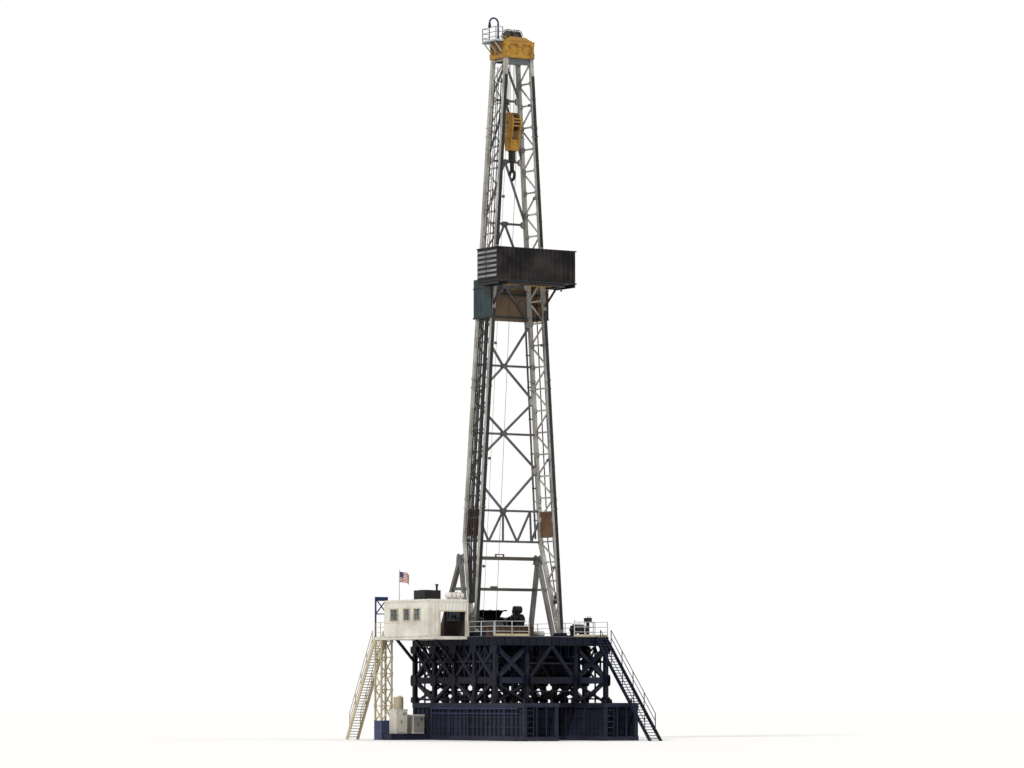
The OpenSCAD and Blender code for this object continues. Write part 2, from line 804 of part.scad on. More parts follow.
// Tall open frame at the head of the left stair
portal_h = 1500;
portal_post = 50;
portal_rail_z = floor_z + 845;
portal_cap = 150;

module stairhead_portal() {
  x1 = -dog_out + stair_w;
  y = porch_y - 20 - portal_post / 2;
  color("#1f2f57") union() {
    for (x = [-dog_out, x1])
      block([x, y - portal_post / 2, floor_z], [x + portal_post, y + portal_post / 2,
                                                floor_z + portal_h]);
    block([-dog_out, y - 23, floor_z + portal_h - portal_cap],
          [x1 + portal_post, y + 23, floor_z + portal_h]);
    block([-dog_out, y - 21, portal_rail_z], [x1 + portal_post, y + 21, portal_rail_z + 40]);
    bar([-dog_out + portal_post / 2, y, portal_rail_z + 20],
        [x1 + portal_post / 2, y, floor_z + portal_h - portal_cap / 2], 36);
    bar([x1 + portal_post / 2, y, portal_rail_z + 20],
        [-dog_out + portal_post / 2, y, floor_z + portal_h - portal_cap / 2], 36);
  }
}

flag_x = -sub_half_w - 1330;
flag_y = dog_rear - 380;
flag_pole_h = 1100;

module flag_pole() {
  color("#c9ccd0") union() {
    translate([flag_x, flag_y, roof_z]) cylinder(h = 20, r = 60, $fn = 24);
    translate([flag_x, flag_y, roof_z + 10]) cylinder(h = flag_pole_h - 10, r = 15, $fn = 24);
  }
}

module flag() {
  color("#a8323a")
    block([flag_x + 15 + eps, flag_y - 5, roof_z + flag_pole_h - 410],
          [flag_x + 15 + eps + 470, flag_y + 5, roof_z + flag_pole_h - 20]);
}

// Shoes that carry the mast legs; the left one also holds the dead line anchor
anchor_x = foot_spread / 2 - 400;
pad_half = 240;
shoe_half = 130;

module mast_feet() {
  color("#23293a")
    for (side = [-1, 1])
      union() {
        side_block(side, [foot_spread / 2 - pad_half, -mast_front - pad_half, floor_z],
                   [foot_spread / 2 + pad_half, -mast_front + pad_half + 80, floor_z + 40]);
        side_block(side, [foot_spread / 2 - shoe_half, -mast_front - shoe_half, floor_z + 30],
                   [foot_spread / 2 + shoe_half, -mast_front + shoe_half + 100, floor_z + shoe_h]);
        if (side < 0) {
          side_block(side, [anchor_x - 120, -mast_front - 60, floor_z],
                     [foot_spread / 2 - 200, -mast_front + 300, floor_z + 40]);
          translate([-anchor_x, -mast_front + 20, floor_z + 160]) rotate([-90, 0, 0])
            cylinder(h = 200, r = 100, $fn = 32);
          side_block(side, [anchor_x - 40, -mast_front + 60, floor_z + 20],
                     [anchor_x + 40, -mast_front + 180, floor_z + 100]);
        }
      }
}

// The two chords of one mast leg
module leg_chords(side) {
  bar(front_pt(side, -100), front_pt(side, mast_h + 100), chord);
  bar(rear_pt(side, taper_h - 20), rear_pt(side, mast_h + 100), chord);
  bar(rear_pt(side, -100), rear_pt(side, taper_h + 40), chord - 4);
}

// One mast leg: two chords, zigzag lacing with a strut at each panel, and a web plate
module mast_leg(side) {
  low_n = 4;
  panel = (mast_h - taper_h - 120) / lace_n;
  difference() {
    union() {
      leg_chords(side);
      for (i = [0 : lace_n]) {
        h = taper_h + 60 + i * panel;
        bar(front_pt(side, h), rear_pt(side, h), lace);
        if (i < lace_n)
          bar(i % 2 == 0 ? front_pt(side, h) : rear_pt(side, h),
              i % 2 == 0 ? rear_pt(side, h + panel) : front_pt(side, h + panel), lace - 8);
      }
      for (i = [1 : low_n]) {
        h0 = taper_h * i / (low_n + 1);
        h1 = taper_h * (i + 1) / (low_n + 1) + (i == low_n ? 60 : 0);
        bar(front_pt(side, h0), rear_pt(side, h0), lace);
        bar(i % 2 == 0 ? front_pt(side, h0) : rear_pt(side, h0),
            i % 2 == 0 ? rear_pt(side, h1) : front_pt(side, h1), lace - 8);
      }
      bar(mix(front_pt(side, taper_h + 200), rear_pt(side, taper_h + 200), 0.5),
          mix(front_pt(side, taper_h + 1200), rear_pt(side, taper_h + 1200), 0.5),
          24, leg_depth - 60);
    }
    block([-4000, -2000, floor_z - 500], [4000, 2000, floor_z + shoe_h]);
    block([-4000, -2000, crown_z], [4000, 2000, crown_z + 500]);
  }
}

module mast_leg_left() {
  color("#cfccc3") mast_leg(-1);
}

module mast_leg_right() {
  color("#cfccc3") mast_leg(1);
}

// Point on the rear face at a height, t = -1 on the left chord to 1 on the right one
function face_pt(t, h) = [t * leg_x(h), rear_y(h), floor_z + h];

// Heights where the crossed braces meet in the middle and on the chords
girder_top = 4725;
cross_h = [girder_top, 7600, 10150, 13150];
chord_h = [6250, 8850, 11750];
vee_h = [13150, 15500, 17850, 20150];
// Depth of the beam across the front of the mast at its top
top_beam_d = 240;

module mast_rear_lower() {
  color("#b8b4aa") difference() {
    union() {
      bar(face_pt(-1, taper_h + 45), face_pt(1, taper_h + 45), rear_brace);
      for (h = [cross_h[0], cross_h[1]])
        bar(face_pt(-1, h), face_pt(1, h), rear_brace);
      for (t = [-0.75, 0, 0.75])
        bar(face_pt(t, taper_h + 45), face_pt(t, girder_top), rear_brace - 20);
      for (s = [-1, 1]) {
        bar(face_pt(0, girder_top), face_pt(s * 0.375, taper_h + 45), rear_brace - 14);
        bar(face_pt(s * 0.375, taper_h + 45), face_pt(s * 0.75, girder_top), rear_brace - 14);
        bar(face_pt(s * 0.75, taper_h + 45), face_pt(s, girder_top - 300), rear_brace - 14);
        bar(face_pt(0, cross_h[0]), face_pt(s, chord_h[0]), rear_brace - 6);
        bar(face_pt(s, chord_h[0]), face_pt(0, cross_h[1]), rear_brace - 6);
      }
    }
    leg_chords(-1);
    leg_chords(1);
  }
}

module mast_rear_upper() {
  color("#b8b4aa") difference() {
    union() {
      bar(front_pt(-1, mast_h - top_beam_d / 2), front_pt(1, mast_h - top_beam_d / 2),
          top_beam_d - 10, rear_brace);
      for (h = [cross_h[2], cross_h[3], vee_h[1], vee_h[2], vee_h[3], mast_h - 60])
        bar(face_pt(-1, h), face_pt(1, h), rear_brace);
      for (s = [-1, 1]) {
        for (i = [1, 2]) {
          bar(face_pt(s * 0.03, cross_h[i] + (i == 1 ? 80 : 0)), face_pt(s, chord_h[i]),
              rear_brace - 6);
          bar(face_pt(s, chord_h[i]), face_pt(0, cross_h[i + 1]), rear_brace - 6);
        }
        for (i = [0 : 2])
          bar(face_pt(s, vee_h[i]), face_pt(0, vee_h[i + 1]), rear_brace - 12);
        bar(face_pt(s, vee_h[3]), face_pt(0, mast_h - 60), rear_brace - 12);
      }
    }
    leg_chords(-1);
    leg_chords(1);
  }
}

// A-frame: raked legs that meet at an apex, with a lug that holds the mast leg
a_foot_x = foot_spread / 2 + 95;
a_front_foot_y = 80;
function a_rear_pt(side, h) = [side * mix(a_foot_x, leg_x(a_apex_h), h / a_apex_h),
                               mix(a_foot_y, a_apex_y, h / a_apex_h), floor_z + h];
function a_front_pt(side, h) = [side * mix(foot_spread / 2, leg_x(a_apex_h), h / a_apex_h),
                                mix(a_front_foot_y, a_apex_y, h / a_apex_h), floor_z + h];

module a_frame_side(side) {
  difference() {
    union() {
      bar(a_rear_pt(side, -200), a_rear_pt(side, a_apex_h), a_leg);
      bar(a_front_pt(side, -200), a_front_pt(side, a_apex_h), a_leg - 10);
      translate(a_rear_pt(side, a_apex_h) - [90, 100, 100]) cube([180, 200, 190]);
      bar(a_front_pt(side, a_tie_h), a_rear_pt(side, a_tie_h), 90);
      bar(rear_pt(side, a_tie_h), a_front_pt(side, a_tie_h), 84);
      bar(rear_pt(side, a_apex_h), a_rear_pt(side, a_apex_h), 110);
      translate(a_rear_pt(side, 0) - [130, 160, 0]) cube([260, 320, 50]);
      translate(a_front_pt(side, 0) - [130, 100, 0]) cube([260, 200, 50]);
    }
    leg_chords(side);
    block([-4000, -4000, floor_z - 1000], [4000, 4000, floor_z]);
  }
}

module a_frame_legs() {
  color("#9c988e") {
    a_frame_side(-1);
    a_frame_side(1);
  }
}

module a_frame_beams() {
  color("#8f8b82") difference() {
    union() {
      for (h = [a_apex_h, a_tie_h])
        bar(a_rear_pt(-1, h), a_rear_pt(1, h), h == a_tie_h ? 110 : 130);
      for (x = [-190, 150])
        block([x, a_apex_y - 30, floor_z + a_apex_h + 50], [x + 40, a_apex_y + 30,
                                                     floor_z + a_apex_h + 160]);
      block([-190, a_apex_y - 30, floor_z + a_apex_h + 130], [190, a_apex_y + 30,
                                                       floor_z + a_apex_h + 165]);
      block([-130, a_rear_pt(1, a_tie_h)[1] - 60, floor_z + a_tie_h + 45],
            [130, a_rear_pt(1, a_tie_h)[1] + 60, floor_z + a_tie_h + 120]);
    }
    a_frame_side(-1);
    a_frame_side(1);
  }
}

// Racking board: side walks, a front walk and a diving board, held off the mast legs
board_front = mast_front + board_reach;
board_rear = board_tail - mast_front;
board_t = 150;
walk_x = leg_x(board_h) + chord / 2 + 60;
knee_drop = 850;
knee_reach = 700;

module racking_board() {
  color("#1c1f24") difference() {
    union() {
      for (side = [-1, 1]) {
        side_block(side, [walk_x, -board_front, board_z - 30], [board_half_w, board_rear, board_z]);
        for (x = [walk_x, board_half_w - 60])
          side_block(side, [x, -board_front, board_z - board_t], [x + 60, board_rear, board_z - 10]);
        side_block(side, [leg_x(board_h), -mast_front - 45, board_z - board_t + 15],
                   [board_half_w - 20, -mast_front + 45, board_z - 40]);
        bar(front_pt(side, board_h - knee_drop),
            [side * (walk_x + 30), -mast_front - knee_reach, board_z - board_t + 20], 60);
      }
      block([-walk_x - 20, -board_front, board_z - board_t],
            [walk_x + 20, -board_front + 90, board_z - 10]);
      block([-160, -board_front + 20, board_z - 60], [160, -mast_front - 130, board_z - 5]);
    }
    leg_chords(-1);
    leg_chords(1);
  }
}

module racking_fingers() {
  pitch = (board_reach - 300) / finger_n;
  color("#c9a227")
    for (side = [-1, 1])
      for (i = [0 : finger_n - 1])
        side_block(side, [240, -board_front + 170 + i * pitch, board_z - 80],
                   [walk_x, -board_front + 220 + i * pitch, board_z - 30]);
}

// Walls round the front and the sides of the racking board
module racking_wind_walls() {
  color("#15161a") {
    block([-board_half_w + wind_t + 2, -board_front, board_z],
          [board_half_w - wind_t - 2, -board_front + wind_t, board_z + board_wall_h]);
    for (side = [-1, 1])
      side_block(side, [board_half_w - wind_t, -board_front, board_z],
                 [board_half_w, board_rear, board_z + board_wall_h]);
  }
}

// Wind walls round the mast below the board, on girts that bear on the chords
module mast_wind_walls() {
  top = board_z - board_t - 5;
  low = top - mast_wall_h;
  side_x = leg_x(low - floor_z) + chord / 2 + 30;
  back_y = rear_y(low - floor_z) + chord / 2 + 30;
  color("#6b543a") {
    difference() {
      union() {
        block([-side_x, back_y, low], [side_x, back_y + wind_t, top]);
        for (z = [low + 120, top - 160])
          block([-side_x + 60, back_y - 60, z], [side_x - 60, back_y + 5, z + 50]);
      }
      leg_chords(-1);
      leg_chords(1);
    }
    for (side = [-1, 1])
      difference() {
        union() {
          side_block(side, [side_x + 2, -mast_front - 90, low],
                     [side_x + 2 + wind_t, back_y + wind_t, top]);
          for (z = [low + 120, top - 160])
            side_block(side, [side_x - 70, -mast_front - 50, z],
                       [side_x + 5, back_y - 70, z + 50]);
        }
        leg_chords(side);
        mast_leg(side);
      }
  }
}

// Taut lines from the end sheaves of the crown: the fast line to the drum and the dead
// line to its anchor. They lean, so they start a little clear of the groove.
lean_fit = 2;

module mast_lines() {
  color("#3c3f44") {
    bar([fast_x, -line_y - lean_fit, sheave_z],
        [fast_x, drum_y - drum_r + 60 - line_r - eps, floor_z + draw_skid_h - 20], 2 * line_r);
    bar([-fast_x, -line_y - lean_fit, sheave_z],
        [-anchor_x, -mast_front + 120, floor_z + 260 + eps], 1.5 * line_r);
  }
}

// Crown frame: two rings of beams with posts and braces, and the bearings of the sheaves
bearing_x = fast_x + 60;
shaft_r = 45;
run_fit = 0.05;
beam = 120;
davit_x = -crown_half_w + beam / 2;
davit_y = 60;
davit_pin_r = 30;
davit_seat_z = crown_top + 120;

module ring(z0, z1) {
  difference() {
    block([-crown_half_w, -crown_half_l, z0], [crown_half_w, crown_half_l, z1]);
    block([-crown_half_w + beam, -crown_half_l + beam, z0 - 5],
          [crown_half_w - beam, crown_half_l - beam, z1 + 5]);
  }
}

module crown_frame() {
  color("#b8902c") difference() {
    union() {
      ring(crown_z, crown_z + 150);
      ring(crown_top - 130, crown_top);
      for (x = [-crown_half_w + beam / 2, 0, crown_half_w - beam / 2])
        for (y = [-crown_half_l + beam / 2, crown_half_l - beam / 2])
          block([x - 50, y - 50, crown_z + 100], [x + 50, y + 50, crown_top - 60]);
      for (s = [-1, 1])
        for (y = [-crown_half_l + beam / 2, crown_half_l - beam / 2])
          bar([s * 20, y, crown_z + 120], [s * (crown_half_w - beam / 2), y, crown_top - 100], 60);
      for (s = [-1, 1]) {
        side_block(s, [bearing_x - 30, -crown_half_l + 40, crown_top - 120],
                   [bearing_x + 50, crown_half_l - 40, crown_top - 10]);
        side_block(s, [bearing_x - 25, -110, crown_top - 20], [bearing_x + 25, 110, sheave_z + 20]);
        translate([s < 0 ? -bearing_x - 25 : bearing_x - 25, 0, sheave_z]) rotate([0, 90, 0])
          cylinder(h = 50, r = 90, $fn = 48);
      }
      block([davit_x - 60, davit_y - 60, crown_top - 20], [davit_x + 60, davit_y + 60,
                                                       davit_seat_z]);
    }
    translate([-1000, 0, sheave_z]) rotate([0, 90, 0])
      cylinder(h = 2000, r = shaft_r + run_fit, $fn = 48);
    translate([davit_x, davit_y, crown_top - 5])
      cylinder(h = 300, r = davit_pin_r + run_fit, $fn = 48);
  }
}

// Sloped guards before and behind the crown sheaves, standing on the upper ring
hood_t = 16;
hood_gap = 60;
hood_low = crown_half_w - 60;
hood_top = bearing_x + 35;

module sheave_guards() {
  color("#b8902c")
    for (s = [-1, 1])
      hull() {
        translate([-hood_low, s * (crown_half_l - beam / 2) - hood_t / 2, crown_top])
          cube([2 * hood_low, hood_t, 10]);
        translate([-hood_top, s * (sheave_r + hood_gap) - hood_t / 2, sheave_z + 10])
          cube([2 * hood_top, hood_t, 10]);
      }
}

module crown_platform() {
  x0 = -crown_half_w - 350;
  color("#7d7f83") union() {
    block([x0, -crown_half_l + 150, crown_top - 60], [-crown_half_w, crown_half_l, crown_top - 30]);
    guardrail([x0 + edge, -crown_half_l + 150 + edge, crown_top - 40],
              [x0 + edge, crown_half_l - edge, crown_top - 40], 3);
    guardrail([x0 + edge, -crown_half_l + 150 + edge, crown_top - 40],
              [-crown_half_w - edge, -crown_half_l + 150 + edge, crown_top - 40], 2);
    guardrail([x0 + edge, crown_half_l - edge, crown_top - 40],
              [-crown_half_w - edge, crown_half_l - edge, crown_top - 40], 2);
  }
}

// One grooved sheave about X, centred on the origin
module sheave() {
  rotate([0, 90, 0]) rotate_extrude($fn = 64)
    polygon([[0, -sheave_pitch * 0.4], [sheave_r, -sheave_pitch * 0.4],
             [sheave_r, -line_r - 5], [sheave_r - groove, -line_r - 1],
             [sheave_r - groove, line_r + 1], [sheave_r, line_r + 5],
             [sheave_r, sheave_pitch * 0.4], [0, sheave_pitch * 0.4]]);
}

// Shaft with the sheaves in a row; ends is 1 where the row has a fast and a dead sheave
module sheave_row(z, half_shaft, ends) {
  union() {
    for (i = [0 : sheave_n - 1])
      translate([(i - (sheave_n - 1) / 2) * sheave_pitch, 0, z]) sheave();
    if (ends)
      for (s = [-1, 1])
        translate([s * fast_x, 0, z]) sheave();
    translate([-half_shaft, 0, z]) rotate([0, 90, 0])
      cylinder(h = 2 * half_shaft, r = shaft_r, $fn = 48);
    translate([-cluster_half + 3, 0, z]) rotate([0, 90, 0])
      cylinder(h = 2 * cluster_half - 6, r = 110, $fn = 48);
  }
}

module crown_sheaves() {
  color("#2b2a28") sheave_row(sheave_z, bearing_x + 30, true);
}

module block_sheaves() {
  color("#2b2a28") sheave_row(block_axle_z, cluster_half + 5 + block_plate + 10, false);
}

// Davit: a post with a turned-down end, on a pin in its socket
davit_h = 760;
davit_r = 34;
davit_bend = 190;

module crown_davit() {
  z1 = davit_seat_z + davit_h - davit_bend;
  color("#24365f") translate([davit_x, davit_y, 0]) union() {
    translate([0, 0, crown_top]) cylinder(h = 130, r = davit_pin_r, $fn = 48);
    translate([0, 0, davit_seat_z + eps]) cylinder(h = 40, r = 56, $fn = 48);
    translate([0, 0, davit_seat_z + 20]) cylinder(h = z1 - davit_seat_z - 20, r = davit_r, $fn = 24);
    translate([-davit_bend, 0, z1]) rotate([90, 0, 0])
      rotate_extrude(angle = 180, $fn = 48) translate([davit_bend, 0]) circle(r = davit_r, $fn = 24);
    translate([-2 * davit_bend, 0, z1 - 60]) cylinder(h = 60, r = davit_r, $fn = 24);
  }
}

// Travelling block: two cheek plates on a crosshead, round the sheaves
crosshead_h = 420;
hook_pin_r = 60;
cheek_x = cluster_half + 5;
cheek_foot = 170;

module cheek(x) {
  drop = block_h - block_cheek;
  translate([x, 0, block_axle_z]) rotate([90, 0, 90]) linear_extrude(block_plate)
    difference() {
      union() {
        circle(r = block_cheek, $fn = 64);
        polygon([[-block_cheek + 2, -40], [block_cheek - 2, -40],
                 [cheek_foot, -drop], [-cheek_foot, -drop]]);
      }
      circle(r = shaft_r + run_fit, $fn = 48);
    }
}

module travelling_block() {
  low = block_top - block_h;
  color("#c99a2a") difference() {
    union() {
      cheek(cheek_x);
      cheek(-cheek_x - block_plate);
      block([-cheek_x - 5, -cheek_foot, low], [cheek_x + 5, cheek_foot, low + crosshead_h]);
      for (y = [-120, 120])
        translate([-cheek_x - 5, y, block_axle_z + sheave_r + 35]) rotate([0, 90, 0])
          cylinder(h = 2 * cheek_x + 10, r = 22, $fn = 24);
    }
    translate([0, 0, low - 10]) cylinder(h = crosshead_h + 20, r = hook_pin_r + run_fit, $fn = 48);
  }
}

// Hook on its swivel shank, with a nut above the crosshead
hook_bend = 170;
hook_wire = 58;

module block_hook() {
  low = block_top - block_h;
  bowl_z = low - hook_h + hook_bend + hook_wire;
  color("#1d1e20") union() {
    translate([0, 0, low - 60]) cylinder(h = crosshead_h + 120, r = hook_pin_r, $fn = 48);
    translate([0, 0, low + crosshead_h + eps]) cylinder(h = 60, r = 95, $fn = 6);
    translate([0, 0, low - 440]) cylinder(h = 440 - eps, r = 135, $fn = 48);
    translate([0, 0, bowl_z + 100]) cylinder(h = low - 430 - bowl_z - 100, r = 80, $fn = 32);
    translate([0, 0, bowl_z]) rotate([90, 0, 90]) rotate_extrude(angle = 270, $fn = 48)
      translate([hook_bend, 0]) circle(r = hook_wire, $fn = 24);
  }
}

// The lines between the crown and the block
module drilling_lines() {
  color("#2f3135")
    for (i = [0 : sheave_n - 1])
      for (y = [-line_y, line_y])
        translate([(i - (sheave_n - 1) / 2) * sheave_pitch, y, block_axle_z])
          cylinder(h = sheave_z - block_axle_z, r = line_r, $fn = 8);
}

base_box_left();
base_box_right();
base_box_ties();
upper_box_left();
upper_box_right();
upper_box_ties();
spreaders_front();
spreaders_rear();
floor_frame();
drill_floor();
rotary_table();
drawworks_skid();
drawworks_drum();
drawworks_motors();
air_hoist();
guardrail_front();
guardrail_right();
guardrail_rear();
stair_right();
stair_right_treads();
stair_left();
stair_left_treads();
stair_tower();
side_skid();
utility_cabinet();
doghouse_platform();
doghouse_front_wall();
doghouse_rear_wall();
doghouse_left_wall();
doghouse_right_wall();
doghouse_glass();
doghouse_roof();
roof_box();
roof_tank();
porch_rails();
stairhead_portal();
flag_pole();
flag();
mast_feet();
mast_leg_left();
mast_leg_right();
mast_rear_lower();
mast_rear_upper();
a_frame_legs();
a_frame_beams();
racking_board();
racking_fingers();
racking_wind_walls();
mast_wind_walls();
mast_lines();
crown_frame();
sheave_guards();
crown_platform();
crown_sheaves();
crown_davit();
travelling_block();
block_sheaves();
block_hook();
drilling_lines();
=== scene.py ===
"""Looks of the half-size land drilling rig: finishes, sheet metal, rigging and fittings."""
import json
import math

import bpy
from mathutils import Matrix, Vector


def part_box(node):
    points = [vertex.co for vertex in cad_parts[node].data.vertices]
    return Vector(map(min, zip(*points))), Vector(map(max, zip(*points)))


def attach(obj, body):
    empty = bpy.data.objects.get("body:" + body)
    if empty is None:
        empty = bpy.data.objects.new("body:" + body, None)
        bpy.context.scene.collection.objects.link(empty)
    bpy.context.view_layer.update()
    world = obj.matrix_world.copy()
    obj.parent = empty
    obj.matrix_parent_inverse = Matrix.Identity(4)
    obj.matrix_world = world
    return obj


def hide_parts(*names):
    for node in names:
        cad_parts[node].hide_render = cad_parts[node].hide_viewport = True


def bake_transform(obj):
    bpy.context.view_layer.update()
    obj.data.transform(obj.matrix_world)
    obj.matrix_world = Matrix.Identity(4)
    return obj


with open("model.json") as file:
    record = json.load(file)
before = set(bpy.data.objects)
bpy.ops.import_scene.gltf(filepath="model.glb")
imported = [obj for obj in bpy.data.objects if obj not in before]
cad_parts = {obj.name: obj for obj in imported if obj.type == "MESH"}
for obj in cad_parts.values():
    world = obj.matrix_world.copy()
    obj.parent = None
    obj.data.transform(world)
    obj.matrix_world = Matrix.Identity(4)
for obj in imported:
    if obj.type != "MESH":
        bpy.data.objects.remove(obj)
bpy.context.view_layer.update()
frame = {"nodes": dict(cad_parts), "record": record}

RIG = "rig"
BLOCK = "travelling_block"
X, Y, Z = (1, 0, 0), (0, 1, 0), (0, 0, 1)
BOX_FACES = [(0, 3, 2, 1), (4, 5, 6, 7), (0, 1, 5, 4), (1, 2, 6, 5), (2, 3, 7, 6), (3, 0, 4, 7)]

# Places read from the frame, in metres
FLOOR_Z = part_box("drill_floor")[1].z
FLOOR_LOW, FLOOR_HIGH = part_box("drill_floor")
BASE_LEFT_LOW, BASE_LEFT_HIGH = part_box("base_box_left")
LEG_LOW, LEG_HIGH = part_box("mast_leg_right")
CROWN_LOW, CROWN_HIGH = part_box("crown_frame")
BOARD_LOW, BOARD_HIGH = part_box("racking_wind_walls")
BLOCK_LOW, BLOCK_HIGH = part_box("travelling_block")
SHEAVES_LOW, SHEAVES_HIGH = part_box("crown_sheaves")
LINES_LOW, LINES_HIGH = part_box("drilling_lines")
DOG_LEFT_LOW, DOG_LEFT_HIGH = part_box("doghouse_left_wall")
DOG_FRONT_LOW, DOG_FRONT_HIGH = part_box("doghouse_front_wall")
DOG_ROOF_LOW, DOG_ROOF_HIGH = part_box("doghouse_roof")
PORCH_LOW, PORCH_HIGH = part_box("doghouse_platform")

CHORD = 0.14
MAST_FRONT_Y = LEG_LOW.y + CHORD / 2
CROWN_Z = LEG_HIGH.z
LEG_FOOT_X = LEG_HIGH.x - CHORD / 2
LEG_TOP_X = LEG_LOW.x + CHORD / 2
REAR_Y_LOW = LEG_HIGH.y - CHORD / 2
REAR_Y_TOP = CROWN_LOW.y + 1.01
TAPER_Z = FLOOR_Z + 3.53


def mix(a, b, t):
    """Value or point part of the way from a to b."""
    return a + (b - a) * t


def spread(count, first, last):
    """Evenly spaced values from first to last."""
    return [mix(first, last, i / (count - 1)) for i in range(count)]


def off(point, x=0.0, y=0.0, z=0.0):
    """A point moved by some metres."""
    return Vector(point) + Vector((x, y, z))


def round_about(count, radius, turn=0.0):
    """Offsets (u, v) evenly spaced round a circle, the first turned by a share of a step."""
    angles = [2 * math.pi * (k + turn) / count for k in range(count)]
    return [(math.cos(a) * radius, math.sin(a) * radius) for a in angles]


def arc(x, y, z, radius, start, end, steps):
    """Points of an arc about an axis along X, in degrees from +Y towards +Z."""
    return [(x, y + math.cos(a) * radius, z + math.sin(a) * radius)
            for a in map(math.radians, spread(steps + 1, start, end))]


def hoop(inner, outer, foot, lip):
    """Profile of a band between two radii; foot and lip are its half widths there."""
    return [(inner, -foot), (outer, -lip), (outer, lip), (inner, foot)]


def collar(inner, outer, low, high):
    """Profile of a square ring that stands on a face."""
    return [(inner, low), (inner, high), (outer, high), (outer, low)]


def twin(centre, *half):
    """An outline alike on both sides of a centre, from (half width, height) points."""
    return ([(centre + u, z) for u, z in half]
            + [(centre - u, z) for u, z in reversed(half) if u])


def leg_x(z):
    """Half of the spread of the mast legs at a height."""
    return mix(LEG_FOOT_X, LEG_TOP_X, (z - FLOOR_Z) / (CROWN_Z - FLOOR_Z))


def rear_y(z):
    """Place of the rear chords at a height."""
    if z < TAPER_Z:
        return mix(MAST_FRONT_Y + CHORD, REAR_Y_LOW, (z - FLOOR_Z) / (TAPER_Z - FLOOR_Z))
    return mix(REAR_Y_LOW, REAR_Y_TOP, (z - TAPER_Z) / (CROWN_Z - TAPER_Z))


